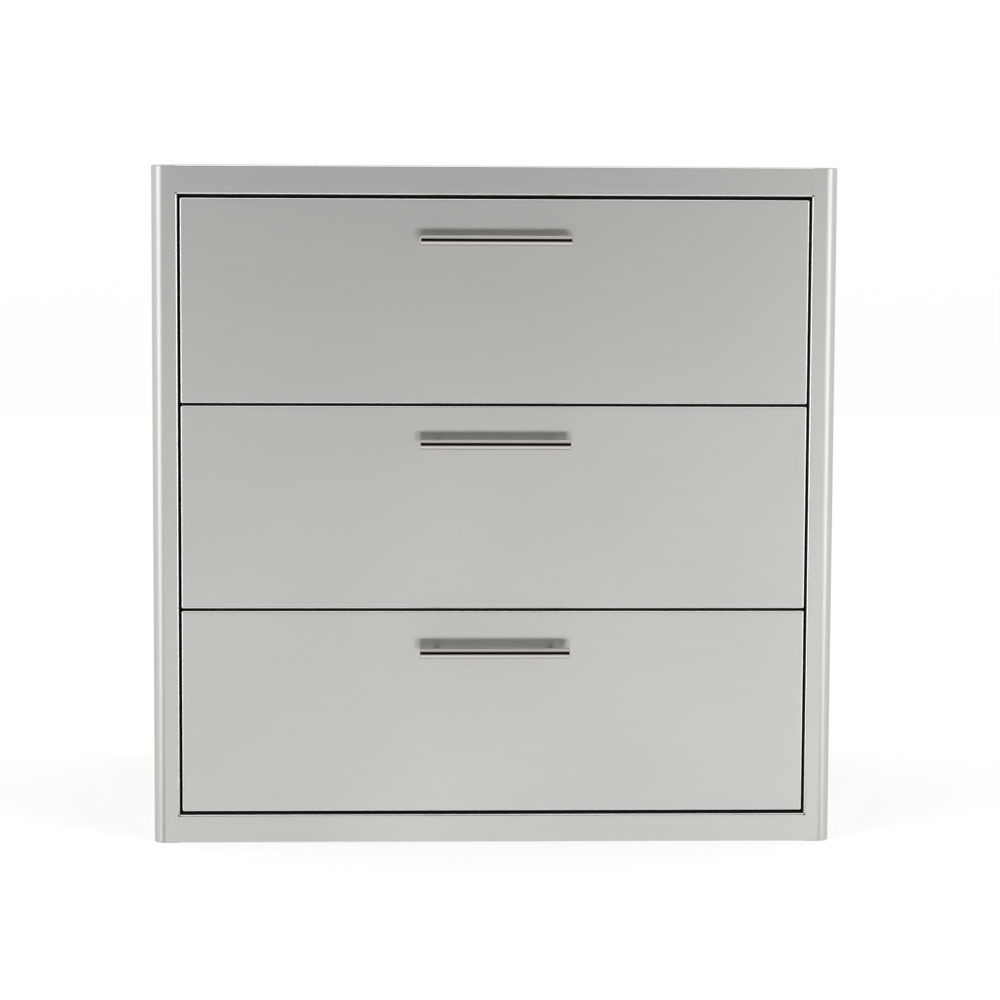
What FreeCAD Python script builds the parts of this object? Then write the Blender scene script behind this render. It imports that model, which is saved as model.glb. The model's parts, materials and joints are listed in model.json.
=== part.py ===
import FreeCAD, Part
import math
import os
import sys
from types import SimpleNamespace

import Sketcher

# Outdoor kitchen drawer unit: a stainless steel cabinet with three equal inset drawers.
#
# The origin is the middle of the footprint, on the surface that the cabinet stands on.
# X runs across the front, Y from the handles to the back, Z up. All sizes are millimetres.
# Each side is one sheet that wraps round the front corner on a large radius and becomes the stile.
# The rails are welded flush between the stiles, and two cross rails close the gaps behind the fronts.
# Every drawer is a double-skinned front with a bar handle, a folded tray and a pair of full
# extension slides: outer members on uprights in the cabinet, middle members, inner members
# on the tray, and two stages of caged balls between them.

SIZES = (
    ("cabinet_width", 762, "outside, side to side"),
    ("cabinet_height", 759, "outside, base to top"),
    ("cabinet_depth", 597, "face of the front frame to the outside of the back panel"),
    ("frame_sheet", 1.5, "sheet of the sides, rails, top and base"),
    ("inner_sheet", 1.2, "sheet of the back, uprights, cross rails and drawer fronts"),
    ("tray_sheet", 1.0, "sheet of the drawer trays"),
    ("edge_radius", 12.7, "outside radius where the sides wrap round to the front"),
    ("bend_radius", 2.0, "outside radius of every tight bend"),
    ("rim_radius", 1.3, "dressed outer edge round the cabinet's top and foot"),
    ("stile_width", 29, "front frame, opening to outside"),
    ("stile_return", 40, "depth of the stile's edge round the opening"),
    ("rail_height", 32, "front frame, opening to top or base"),
    ("rail_lip", 16, "height of the stop lip behind each rail"),
    ("rear_flange", 22, "width of the flanges that carry the back panel"),
    ("front_height", 227, "one drawer front"),
    ("front_depth", 20, "thickness of a drawer front"),
    ("front_radius", 1.5, "rounding round the edges of a drawer front"),
    ("side_gap", 3, "drawer front to stile"),
    ("drawer_gap", 3, "between two drawer fronts"),
    ("stop_space", 2.3, "drawer front to the lips and cross rails behind it"),
    ("cross_rail_height", 26, "face of a cross rail"),
    ("cross_rail_depth", 20, "flanges of a cross rail"),
    ("bumper_thickness", 2, "rubber stop pad"),
    ("bumper_diameter", 8, "rubber stop pad"),
    ("bumper_inset", 6, "pad centre from the edge of the drawer front"),
    ("bumper_spread", 640, "pad to pad across the cabinet"),
    ("handle_length", 168, "bar handle, end to end"),
    ("handle_diameter", 12, "bar handle"),
    ("handle_chamfer", 0.8, "ends of the bar"),
    ("handle_reach", 38, "drawer face to the outermost line of the bar"),
    ("handle_drop_bottom", 43, "bottom drawer, top edge of the front to the middle of the bar"),
    ("handle_drop_middle", 40, "the same on the middle drawer"),
    ("handle_drop_top", 45, "the same on the top drawer"),
    ("handle_spacing", 128, "post to post"),
    ("post_diameter", 8, "handle post"),
    ("post_thread_depth", 16, "tapped hole in a handle post"),
    ("screw_end_space", 1.5, "end of a handle screw to the bottom of its hole"),
    ("tray_rise", 16, "bottom edge of the front to the underside of the tray"),
    ("tray_height", 160, "tray walls"),
    ("tray_depth", 548, "tray, front wall to back wall"),
    ("tray_hem", 9, "folded rim of the tray"),
    ("slide_length", 550, "closed slide, and also its travel"),
    ("slide_setback", 4, "back of the drawer front to the slide"),
    ("slide_rise", 62, "underside of the tray to the middle of the slide"),
    ("slide_thickness", 12.7, "cabinet side to drawer side"),
    ("slide_height", 45.7, "outer member"),
    ("slide_sheet", 1.2, "all three members"),
    ("slide_bend", 1.6, "outside radius of the members' bends"),
    ("slide_clearance", 3, "stile opening to the outer member"),
    ("outer_flange", 10, "outer member, width of its flanges"),
    ("middle_start", 3, "cabinet side to the middle member's web"),
    ("middle_flange", 8, "middle member, width of its flanges"),
    ("inner_flange", 7.7, "inner member, width of its flanges"),
    ("ball_track", 4, "height of the space that a row of balls runs in"),
    ("ball_diameter", 3.4, "bearing ball"),
    ("ball_play", 0.05, "ball to the hole in its cage"),
    ("balls_per_row", 8, "balls in one cage strip"),
    ("outer_row", 6.5, "cabinet side to the outer row of balls"),
    ("inner_row", 8.2, "cabinet side to the inner row of balls"),
    ("cage_length", 265, "cage strip"),
    ("cage_width", 5.8, "cage strip"),
    ("cage_sheet", 1.0, "cage strip"),
    ("upright_width", 50, "upright that the slides are screwed to"),
    ("upright_front", 60, "front frame to the front uprights"),
    ("upright_rear", 500, "front frame to the rear uprights"),
    ("rivet_diameter", 4, "blind rivet"),
    ("rivet_head", 8, "diameter of a rivet's head"),
    ("rivet_head_height", 1.2, "height of a rivet's head"),
    ("rivet_tail", 6.4, "diameter of a set rivet's tail"),
    ("rivet_tail_height", 1.5, "height of a set rivet's tail"),
    ("rivet_inset", 11, "rivet to the edge of the cabinet"),
    ("rail_rivet_spread", 480, "rivets along the top and the foot of the back panel"),
    ("side_rivets", 5, "rivets down each side of the back panel"),
    ("rail_rivets", 3, "rivets along the top, and as many along the foot"),
    ("slide_rivets", 3, "rivets through each inner member"),
    ("slide_rivet_inset", 50, "first and last of those rivets to the member's ends"),
    ("screw_diameter", 4, "slide and handle screws"),
    ("screw_head", 7.5, "diameter of a screw's head"),
    ("low_head_height", 1.3, "head of a slide screw, clear of the middle member"),
    ("slide_screw_length", 8, "slide screw, under its head"),
    ("pan_head_height", 2.4, "head of a handle or tray screw"),
    ("tray_screw_diameter", 5, "screw that joins tray and front"),
    ("tray_screw_head", 9, "diameter of its head"),
    ("tray_screw_length", 10, "tray screw, under its head"),
    ("tray_screw_spread", 500, "tray screws, across"),
    ("tray_screw_rise", 34, "tray screws, above the underside of the tray"),
    ("tray_screw_pitch", 100, "tray screws, lower row to upper row"),
    ("hole_play", 0.1, "extra diameter of a hole round its rivet or screw"),
    ("fixing_hole", 5.5, "holes in the sides for joining the cabinet to an island"),
    ("fixing_front", 150, "front frame to the front pair of fixing holes"),
    ("fixing_spread", 300, "fixing holes, front to back"),
    ("fixing_low", 81, "base to the lower pair of fixing holes"),
    ("fixing_rise", 600, "fixing holes, low to high"),
    ("anchor_hole", 8.5, "holes in the base for anchor bolts"),
    ("anchor_across", 600, "anchor holes, side to side"),
    ("anchor_front", 80, "front frame to the front pair of anchor holes"),
    ("anchor_along", 440, "anchor holes, front to back"),
)

DRAWERS = ("bottom", "middle", "top")
NEAR = 1e-6  # lengths this close, in millimetres, are the same
SMALL_CUT = 1e-3  # a cut that removes less, in cubic millimetres, has missed


class Size:
    """A length in millimetres, with the sheet formula that gives it."""

    def __init__(self, value, formula):
        self.value = value
        self.formula = formula

    def __add__(self, other):
        other = as_size(other)
        return Size(self.value + other.value, f"({self.formula} + {other.formula})")

    def __sub__(self, other):
        other = as_size(other)
        return Size(self.value - other.value, f"({self.formula} - {other.formula})")

    def __mul__(self, factor):
        return Size(self.value * factor, f"({self.formula} * {factor})")

    def __truediv__(self, divisor):
        return Size(self.value / divisor, f"({self.formula} / {divisor})")

    def __neg__(self):
        return Size(-self.value, f"(0 - {self.formula})")


def as_size(number):
    if isinstance(number, Size):
        return number
    return Size(number, str(number))


def bind(item, prop, length):
    """Tie one property of an object to the sheet."""
    item.setExpression(prop, as_size(length).formula)


doc = FreeCAD.newDocument("drawer_unit")


def make_sheet():
    """Write the driving dimensions to the sheet, and give each one back as a Size."""
    sheet = doc.addObject("Spreadsheet::Sheet", "sizes")
    for row, (name, value, meaning) in enumerate(SIZES, start=1):
        sheet.set(f"A{row}", name)
        sheet.set(f"B{row}", str(value))
        sheet.setAlias(f"B{row}", name)
        sheet.set(f"C{row}", meaning)
    doc.recompute()
    return SimpleNamespace(**{name: Size(value, f"sizes.{name}") for name, value, _ in SIZES})


dim = make_sheet()
ZERO = as_size(0)

# Places that several pieces share.
half_width = dim.cabinet_width / 2
opening_half = half_width - dim.stile_width
opening_top = dim.cabinet_height - dim.rail_height
drawer_pitch = dim.front_height + dim.drawer_gap
fronts_height = drawer_pitch * 2 + dim.front_height
end_gap = (opening_top - dim.rail_height - fronts_height) / 2
stop_face = dim.front_depth + dim.stop_space
rear_face = dim.cabinet_depth - dim.inner_sheet
slide_face = opening_half - dim.slide_clearance
slide_start = dim.front_depth + dim.slide_setback
slide_level = dim.tray_rise + dim.slide_rise
tray_half = slide_face - dim.slide_thickness
handle_radius = dim.handle_diameter / 2
handle_drops = (dim.handle_drop_bottom, dim.handle_drop_middle, dim.handle_drop_top)
handle_out = dim.handle_reach - handle_radius
overall_depth = dim.handle_reach + dim.cabinet_depth + dim.rivet_head_height
face_y = dim.handle_reach - overall_depth / 2
rivet_hole = dim.rivet_diameter + dim.hole_play
screw_hole = dim.screw_diameter + dim.hole_play
side_rivet_low = dim.rail_height + dim.rivet_inset
side_rivet_run = dim.cabinet_height - side_rivet_low * 2
rail_rivet_rise = dim.cabinet_height - dim.rivet_inset * 2
slides_run = drawer_pitch * (len(DRAWERS) - 1)
outer_half = dim.slide_height / 2
middle_half = outer_half - dim.slide_sheet - dim.ball_track
inner_half = middle_half - dim.slide_sheet - dim.ball_track
front_half = opening_half - dim.side_gap
tray_screw_hole = dim.tray_screw_diameter + dim.hole_play
tray_screw_low = dim.tray_rise + dim.tray_screw_rise


def drawer_level(number):
    """Height of the bottom edge of a drawer front, counted from the bottom drawer."""
    return dim.rail_height + end_gap + drawer_pitch * number


def handle_level(number):
    """Height of a drawer's bar above the bottom edge of its front."""
    return dim.front_height - handle_drops[number]


# Helpers for bodies, sketches and features.


def origin_feature(body, role):
    return next(item for item in body.Origin.OriginFeatures if item.Role == role)


def new_body(label, across=ZERO, back=face_y, up=ZERO):
    """An empty body at a place in the cabinet, the front frame's face by default."""
    body = doc.addObject("PartDesign::Body", label)
    body.Label = label
    body.AllowCompound = True
    for axis, length in zip("xyz", (across, back, up)):
        bind(body, f"Placement.Base.{axis}", length)
    return body


def new_sketch(body, name, plane, offset=(ZERO, ZERO, ZERO)):
    sketch = body.newObject("Sketcher::SketchObject", name)
    sketch.AttachmentSupport = [(origin_feature(body, plane), "")]
    sketch.MapMode = "FlatFace"
    for axis, length in zip("xyz", offset):
        bind(sketch, f"AttachmentOffset.Base.{axis}", length)
    return sketch


def hold_point(sketch, geometry, point, across, up):
    """Hold a point of a sketch at its distances from the sketch's origin."""
    for kind, length in (("DistanceX", across), ("DistanceY", up)):
        index = sketch.addConstraint(
            Sketcher.Constraint(kind, -1, 1, geometry, point, length.value)
        )
        bind(sketch, f"Constraints[{index}]", length)


def sign(number):
    return (number > NEAR) - (number < -NEAR)


def heading(start, end):
    """Direction from one corner to the next along the sketch's axes."""
    return sign(end[0].value - start[0].value), sign(end[1].value - start[1].value)


def shifted(corner, direction, distance):
    return corner[0] + distance * direction[0], corner[1] + distance * direction[1]


def vector(point):
    return FreeCAD.Vector(point[0].value, point[1].value, 0)


def corner_stops(corners):
    """Where an outline meets and leaves each corner's arc, with the arc's radius and ways."""
    stops = []
    for before, corner, after in zip(corners[-1:] + corners[:-1], corners, corners[1:] + corners[:1]):
        into, out = heading(before, corner), heading(corner, after)
        arrive = shifted(corner, into, -corner[2])
        leave = shifted(corner, out, corner[2])
        stops.append(SimpleNamespace(arrive=arrive, leave=leave, radius=corner[2], into=into, out=out))
    return stops


def add_corner_arc(sketch, stop):
    """The arc of a rounded corner. Gives back its number and its points in the outline's order."""
    left_turn = stop.into[0] * stop.out[1] > stop.into[1] * stop.out[0]
    middle = shifted(stop.arrive, stop.out, stop.radius)
    circle = Part.Circle(vector(middle), FreeCAD.Vector(0, 0, 1), stop.radius.value)
    angles = [circle.parameter(vector(stop.arrive)), circle.parameter(vector(stop.leave))]
    if not left_turn:
        angles.reverse()
    if angles[1] < angles[0]:
        angles[1] += 2 * math.pi
    arc = sketch.addGeometry(Part.ArcOfCircle(circle, *angles))
    held = sketch.addConstraint(Sketcher.Constraint("Radius", arc, stop.radius.value))
    bind(sketch, f"Constraints[{held}]", stop.radius)
    return (arc, 1, 2) if left_turn else (arc, 2, 1)


def add_outline(sketch, corners):
    """A closed outline through corners (across, up, radius). A corner of radius 0 is sharp."""
    stops = corner_stops([tuple(as_size(number) for number in corner) for corner in corners])
    ends = []
    for stop, after in zip(stops, stops[1:] + stops[:1]):
        if stop.radius.value:
            ends.append(add_corner_arc(sketch, stop))
        line = sketch.addGeometry(Part.LineSegment(vector(stop.leave), vector(after.arrive)))
        ends.append((line, 1, 2))
        hold_point(sketch, line, 1, *stop.leave)
        if after.radius.value:
            hold_point(sketch, line, 2, *after.arrive)
    for here, after in zip(ends, ends[1:] + ends[:1]):
        sketch.addConstraint(Sketcher.Constraint("Coincident", here[0], here[2], after[0], after[1]))


def folded(path, sheet, bends, tips=(ZERO, ZERO)):
    """The outline of a folded sheet. The path is one face of it, the sheet lies to its left,
    bends holds the outside radius at each inner point of the path, and tips the rounding where
    the path starts and ends."""
    path = [(as_size(x), as_size(y)) for x, y in path]
    ways = [heading(start, end) for start, end in zip(path, path[1:])]
    lefts = [(-way[1], way[0]) for way in ways]
    near = [(*path[0], tips[0])]
    far = [(*shifted(path[0], lefts[0], sheet), 0)]
    for index, bend in enumerate(bends):
        point = path[index + 1]
        left_turn = ways[index][0] * ways[index + 1][1] > ways[index][1] * ways[index + 1][0]
        across = shifted(shifted(point, lefts[index], sheet), lefts[index + 1], sheet)
        near.append((*point, bend if left_turn else bend - sheet))
        far.append((*across, bend - sheet if left_turn else bend))
    near.append((*path[-1], tips[1]))
    far.append((*shifted(path[-1], lefts[-1], sheet), 0))
    return near + far[::-1]


def rectangle(left, low, right, high, radius=ZERO):
    return [(left, low, radius), (right, low, radius), (right, high, radius), (left, high, radius)]


def add_circle(sketch, across, up, diameter):
    across, up = as_size(across), as_size(up)
    circle = Part.Circle(vector((across, up)), FreeCAD.Vector(0, 0, 1), diameter.value / 2)
    index = sketch.addGeometry(circle)
    hold_point(sketch, index, 3, across, up)
    held = sketch.addConstraint(Sketcher.Constraint("Diameter", index, diameter.value))
    bind(sketch, f"Constraints[{held}]", diameter)


def pad(body, sketch, length, both_ways=False, flip=False):
    feature = body.newObject("PartDesign::Pad", sketch.Name + "_pad")
    feature.Profile = sketch
    feature.Midplane = both_ways
    feature.Reversed = flip
    bind(feature, "Length", length)
    doc.recompute()
    return feature


def cut(body, sketch, depth=None):
    """Cut a sketch right through the body both ways, or to a depth against its normal, and check
    that it removed something."""
    before = body.Shape.Volume
    feature = body.newObject("PartDesign::Pocket", sketch.Name + "_cut")
    feature.Profile = sketch
    if depth is None:
        feature.Type = "ThroughAll"
        feature.Midplane = True
    else:
        bind(feature, "Length", depth)
    doc.recompute()
    if body.Shape.Volume > before - SMALL_CUT:
        sys.exit(f"{feature.Label} cut nothing")
    return feature


def sheet_section(
    body, plane, path, sheet, bends, length, both_ways=False, flip=False, tips=(ZERO, ZERO)
):
    """A folded sheet: its section on one plane, run along the normal."""
    sketch = new_sketch(body, body.Label + "_section", plane)
    add_outline(sketch, folded(path, sheet, bends, tips))
    return pad(body, sketch, length, both_ways, flip)


def turned(body, name, axis, profile, at):
    """A solid turned about X or Y. The profile is (place along the axis, radius)."""
    sketch = new_sketch(body, name, "XY_Plane", at)
    if axis == "X":
        add_outline(sketch, [(along, radius, 0) for along, radius in profile])
    else:
        add_outline(sketch, [(radius, along, 0) for along, radius in profile])
    feature = body.newObject("PartDesign::Revolution", name + "_turned")
    feature.Profile = sketch
    feature.ReferenceAxis = (sketch, ["H_Axis" if axis == "X" else "V_Axis"])
    feature.Angle = 360
    doc.recompute()
    return feature


def repeated(body, feature, *steps):
    """Repeat a feature: a step is (axis, distance from first to last, count), or a plane's role
    to mirror on."""
    multi = body.newObject("PartDesign::MultiTransform", feature.Name + "_repeated")
    multi.Originals = [feature]
    moves = []
    for step in steps:
        if isinstance(step, str):
            move = body.newObject("PartDesign::Mirrored", feature.Name + "_mirrored")
            move.MirrorPlane = (origin_feature(body, step), [""])
        else:
            axis, distance, count = step
            move = body.newObject("PartDesign::LinearPattern", feature.Name + "_row")
            move.Direction = (origin_feature(body, axis + "_Axis"), [""])
            bind(move, "Length", distance)
            bind(move, "Occurrences", count)
        moves.append(move)
    multi.Transformations = moves
    body.Tip = multi
    doc.recompute()
    return multi


def mirrored_piece(label, source):
    """The left-hand piece that mirrors a right-hand one on the cabinet's middle plane."""
    mirror = doc.addObject("Part::Mirroring", label)
    mirror.Label = label
    mirror.Source = source
    mirror.Base = FreeCAD.Vector(0, 0, 0)
    mirror.Normal = FreeCAD.Vector(1, 0, 0)
    doc.recompute()
    return mirror


def both_sides(name, build):
    """Build the right-hand piece and mirror it for the left."""
    right = build(name + "_right")
    return [right, mirrored_piece(name + "_left", right)]


# The cabinet.


def rim_edges(shape):
    """Names of the edges round the outside of a side panel, at its top and at its foot."""
    names = []
    for index, edge in enumerate(shape.Edges, start=1):
        box = edge.BoundBox
        at_foot = box.ZMax < NEAR
        at_top = box.ZMin > dim.cabinet_height.value - NEAR
        on_front = box.YMax < NEAR
        on_side = box.XMin > half_width.value - NEAR
        on_rear = box.YMin > rear_face.value - NEAR
        radius = getattr(edge.Curve, "Radius", 0)
        outer_bend = any(
            abs(radius - bend.value) < NEAR for bend in (dim.edge_radius, dim.bend_radius)
        )
        if (at_foot or at_top) and (on_front or on_side or on_rear or outer_bend):
            names.append(f"Edge{index}")
    return names


def side_panel(label):
    """Stile edge, stile, wrapped corner, side and rear flange in one sheet."""
    body = new_body(label)
    path = [
        (opening_half, dim.stile_return),
        (opening_half, ZERO),
        (half_width, ZERO),
        (half_width, rear_face),
        (half_width - dim.rear_flange, rear_face),
    ]
    bends = (dim.bend_radius, dim.edge_radius, dim.bend_radius)
    sheet_section(body, "XY_Plane", path, dim.frame_sheet, bends, dim.cabinet_height)
    # The stile's edge stops at the rails, whose faces butt against the flat of the stile.
    clear = new_sketch(body, label + "_rail_ends", "XZ_Plane")
    inside = opening_half - dim.frame_sheet
    flat = opening_half + dim.bend_radius
    add_outline(clear, rectangle(inside, -dim.frame_sheet, flat, dim.rail_height))
    add_outline(clear, rectangle(inside, opening_top, flat, dim.cabinet_height + dim.frame_sheet))
    cleared = cut(body, clear)
    rim = body.newObject("PartDesign::Fillet", label + "_rim")
    rim.Base = (cleared, rim_edges(cleared.Shape))
    bind(rim, "Radius", dim.rim_radius)
    doc.recompute()
    fixings = new_sketch(body, label + "_fixings", "YZ_Plane")
    for along in (dim.fixing_front, dim.fixing_front + dim.fixing_spread):
        for up in (dim.fixing_low, dim.fixing_low + dim.fixing_rise):
            add_circle(fixings, along, up, dim.fixing_hole)
    cut(body, fixings)
    flange = rear_face - dim.frame_sheet
    rivets = new_sketch(body, label + "_rivet_holes", "XZ_Plane", (ZERO, ZERO, -flange))
    add_circle(rivets, half_width - dim.rivet_inset, side_rivet_low, rivet_hole)
    first = cut(body, rivets, dim.frame_sheet)
    repeated(body, first, ("Z", side_rivet_run, dim.side_rivets))
    return body


def rail(label, path, opening_edge, away, tips):
    """A front rail with its stop lip, relieved at the corners of the opening."""
    body = new_body(label)
    reach = opening_half + dim.bend_radius
    bends = (dim.bend_radius, dim.bend_radius)
    sheet_section(body, "YZ_Plane", path, dim.frame_sheet, bends, reach * 2, True, tips=tips)
    relief = new_sketch(body, label + "_relief", "XZ_Plane")
    lip_end = opening_edge - (dim.rail_lip + dim.frame_sheet) * away
    face_edge = opening_edge + dim.bend_radius * away
    low, high = (lip_end, face_edge) if away > 0 else (face_edge, lip_end)
    past = reach + dim.frame_sheet
    add_outline(relief, rectangle(opening_half, low, past, high))
    add_outline(relief, rectangle(-past, low, -opening_half, high))
    cut(body, relief)
    return body


def top_rail():
    path = [
        (ZERO, dim.cabinet_height),
        (ZERO, opening_top),
        (stop_face, opening_top),
        (stop_face, opening_top - dim.rail_lip),
    ]
    return rail("top_rail", path, opening_top, 1, (dim.rim_radius, ZERO))


def bottom_rail():
    path = [
        (stop_face, dim.rail_height + dim.rail_lip),
        (stop_face, dim.rail_height),
        (ZERO, dim.rail_height),
        (ZERO, ZERO),
    ]
    return rail("bottom_rail", path, dim.rail_height, -1, (ZERO, dim.rim_radius))


def end_panel(label, low, flange_path):
    """The top or the base: a plate inside the wrapped sides, with a flange for the back panel."""
    body = new_body(label)
    inside = half_width - dim.frame_sheet
    plate = new_sketch(body, label + "_plate", "XY_Plane", (ZERO, ZERO, low))
    wrapped = dim.edge_radius - dim.frame_sheet
    tight = dim.bend_radius - dim.frame_sheet
    rear = rear_face - dim.frame_sheet
    corners = [
        (-inside, dim.frame_sheet, wrapped),
        (inside, dim.frame_sheet, wrapped),
        (inside, rear, tight),
        (-inside, rear, tight),
    ]
    add_outline(plate, corners)
    pad(body, plate, dim.frame_sheet)
    flange_half = half_width - dim.rear_flange
    bends = (dim.bend_radius,)
    sheet_section(body, "YZ_Plane", flange_path, dim.frame_sheet, bends, flange_half * 2, True)
    return body


def rail_rivet_holes(body, level):
    holes = new_sketch(body, body.Label + "_rivet_holes", "XZ_Plane")
    add_circle(holes, -dim.rail_rivet_spread / 2, level, rivet_hole)
    first = cut(body, holes)
    repeated(body, first, ("X", dim.rail_rivet_spread, dim.rail_rivets))


def top_panel():
    start = (rear_face - dim.rear_flange, dim.cabinet_height)
    corner = (rear_face, dim.cabinet_height)
    foot = (rear_face, dim.cabinet_height - dim.rear_flange)
    path = [foot, corner, start]
    body = end_panel("top_panel", dim.cabinet_height - dim.frame_sheet, path)
    rail_rivet_holes(body, dim.cabinet_height - dim.rivet_inset)
    return body


def base_panel():
    start = (rear_face - dim.rear_flange, ZERO)
    path = [start, (rear_face, ZERO), (rear_face, dim.rear_flange)]
    body = end_panel("base_panel", ZERO, path)
    rail_rivet_holes(body, dim.rivet_inset)
    anchors = new_sketch(body, "base_panel_anchors", "XY_Plane")
    for across in (-dim.anchor_across / 2, dim.anchor_across / 2):
        for along in (dim.anchor_front, dim.anchor_front + dim.anchor_along):
            add_circle(anchors, across, along, dim.anchor_hole)
    cut(body, anchors)
    return body


def back_panel():
    """A flat sheet on the rear flanges."""
    body = new_body("back_panel", back=face_y + rear_face)
    edge = dim.bend_radius
    plate = new_sketch(body, "back_panel_plate", "XZ_Plane")
    across = half_width - edge
    add_outline(plate, rectangle(-across, edge, across, dim.cabinet_height - edge, edge * 2))
    pad(body, plate, dim.inner_sheet, flip=True)
    sides = new_sketch(body, "back_panel_side_holes", "XZ_Plane")
    add_circle(sides, dim.rivet_inset - half_width, side_rivet_low, rivet_hole)
    first = cut(body, sides)
    repeated(body, first, ("Z", side_rivet_run, dim.side_rivets), "YZ_Plane")
    rails = new_sketch(body, "back_panel_rail_holes", "XZ_Plane")
    add_circle(rails, -dim.rail_rivet_spread / 2, dim.rivet_inset, rivet_hole)
    first = cut(body, rails)
    steps = (("X", dim.rail_rivet_spread, dim.rail_rivets), ("Z", rail_rivet_rise, 2))
    repeated(body, first, *steps)
    return body


def rivet_profile(grip):
    """A set blind rivet along its axis: tail, shank through the grip, head."""
    shank = dim.rivet_diameter / 2
    return [
        (-dim.rivet_tail_height, ZERO),
        (-dim.rivet_tail_height, dim.rivet_tail / 2),
        (ZERO, dim.rivet_tail / 2),
        (ZERO, shank),
        (grip, shank),
        (grip, dim.rivet_head / 2),
        (grip + dim.rivet_head_height, shank),
        (grip + dim.rivet_head_height, ZERO),
    ]


def back_panel_rivets():
    body = new_body("back_panel_rivets")
    grip = dim.frame_sheet + dim.inner_sheet
    profile = rivet_profile(grip)
    inner_face = rear_face - dim.frame_sheet
    at = (dim.rivet_inset - half_width, inner_face, side_rivet_low)
    side = turned(body, "side_rivet", "Y", profile, at)
    repeated(body, side, ("Z", side_rivet_run, dim.side_rivets), "YZ_Plane")
    at = (-dim.rail_rivet_spread / 2, inner_face, dim.rivet_inset)
    low = turned(body, "rail_rivet", "Y", profile, at)
    steps = (("X", dim.rail_rivet_spread, dim.rail_rivets), ("Z", rail_rivet_rise, 2))
    repeated(body, low, *steps)
    return body


def cross_rails():
    """Channels behind the gaps between the drawers, from stile to stile."""
    level = drawer_level(0) + dim.front_height + dim.drawer_gap / 2
    body = new_body("cross_rails", up=level)
    half = dim.cross_rail_height / 2
    rear = stop_face + dim.cross_rail_depth
    path = [(rear, half), (stop_face, half), (stop_face, -half), (rear, -half)]
    bends = (dim.bend_radius, dim.bend_radius)
    channel = sheet_section(
        body, "YZ_Plane", path, dim.inner_sheet, bends, opening_half * 2, both_ways=True
    )
    gaps = len(DRAWERS) - 1
    repeated(body, channel, ("Z", drawer_pitch * (gaps - 1), gaps))
    return body


def stop_bumpers():
    """Rubber pads that the corners of the drawer fronts close against."""
    body = new_body("stop_bumpers")
    radius = dim.bumper_diameter / 2
    dome = dim.bumper_thickness / 2
    start = stop_face - dim.bumper_thickness
    profile = [
        (ZERO, ZERO),
        (ZERO, radius - dome),
        (dome, radius),
        (dim.bumper_thickness, radius),
        (dim.bumper_thickness, ZERO),
    ]
    at = (-dim.bumper_spread / 2, start, drawer_level(0) + dim.bumper_inset)
    bumper = turned(body, "bumper", "Y", profile, at)
    rise = dim.front_height - dim.bumper_inset * 2
    count = len(DRAWERS)
    pitch = drawer_pitch * (count - 1)
    repeated(body, bumper, ("X", dim.bumper_spread, 2), ("Z", rise, 2), ("Z", pitch, count))
    return body


def upright(label, front):
    """A channel on the cabinet side that the three slides are screwed to."""
    body = new_body(label, up=dim.frame_sheet)
    side = half_width - dim.frame_sheet
    rear = front + dim.upright_width
    path = [(side, rear), (slide_face, rear), (slide_face, front), (side, front)]
    height = dim.cabinet_height - dim.frame_sheet * 2
    bends = (dim.bend_radius, dim.bend_radius)
    sheet_section(body, "XY_Plane", path, dim.inner_sheet, bends, height)
    holes = new_sketch(body, label + "_holes", "YZ_Plane")
    level = drawer_level(0) + slide_level - dim.frame_sheet
    add_circle(holes, front + dim.upright_width / 2, level, screw_hole)
    first = cut(body, holes)
    repeated(body, first, ("Z", slides_run, len(DRAWERS)))
    return body


def slide_mount_screws():
    body = new_body("slide_mount_screws")
    head_top = dim.slide_sheet + dim.low_head_height
    profile = [
        (-head_top, ZERO),
        (-head_top, dim.screw_diameter / 2),
        (-dim.slide_sheet, dim.screw_head / 2),
        (-dim.slide_sheet, dim.screw_diameter / 2),
        (dim.slide_screw_length - dim.slide_sheet, dim.screw_diameter / 2),
        (dim.slide_screw_length - dim.slide_sheet, ZERO),
    ]
    along = dim.upright_front + dim.upright_width / 2
    level = drawer_level(0) + slide_level
    screw = turned(body, "slide_screw", "X", profile, (slide_face, along, level))
    run = dim.upright_rear - dim.upright_front
    repeated(body, screw, ("Y", run, 2), ("Z", slides_run, len(DRAWERS)), "YZ_Plane")
    return body


# The slides.


def slide_member(label, number, path):
    """One member of a right-hand slide, seen along the slide from the cabinet side inward."""
    level = drawer_level(number) + slide_level
    body = new_body(label, slide_face, face_y + slide_start, level)
    bends = (dim.slide_bend, dim.slide_bend)
    sheet_section(
        body, "XZ_Plane", path, dim.slide_sheet, bends, dim.slide_length, flip=True
    )
    return body


def outer_member(label, number):
    tip = -dim.outer_flange
    path = [(tip, -outer_half), (ZERO, -outer_half), (ZERO, outer_half), (tip, outer_half)]
    body = slide_member(label, number, path)
    holes = new_sketch(body, label + "_holes", "YZ_Plane")
    first_hole = dim.upright_front + dim.upright_width / 2 - slide_start
    for along in (first_hole, first_hole + dim.upright_rear - dim.upright_front):
        add_circle(holes, along, ZERO, screw_hole)
    cut(body, holes)
    return body


def middle_member(label, number):
    web = -dim.middle_start
    tip = web - dim.middle_flange
    path = [(tip, -middle_half), (web, -middle_half), (web, middle_half), (tip, middle_half)]
    return slide_member(label, number, path)


def inner_member(label, number):
    web = -dim.slide_thickness
    tip = web + dim.inner_flange
    path = [(tip, inner_half), (web, inner_half), (web, -inner_half), (tip, -inner_half)]
    body = slide_member(label, number, path)
    holes = new_sketch(body, label + "_holes", "YZ_Plane")
    add_circle(holes, dim.slide_rivet_inset, ZERO, rivet_hole)
    first = cut(body, holes)
    run = dim.slide_length - dim.slide_rivet_inset * 2
    repeated(body, first, ("Y", run, dim.slide_rivets))
    return body


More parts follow.
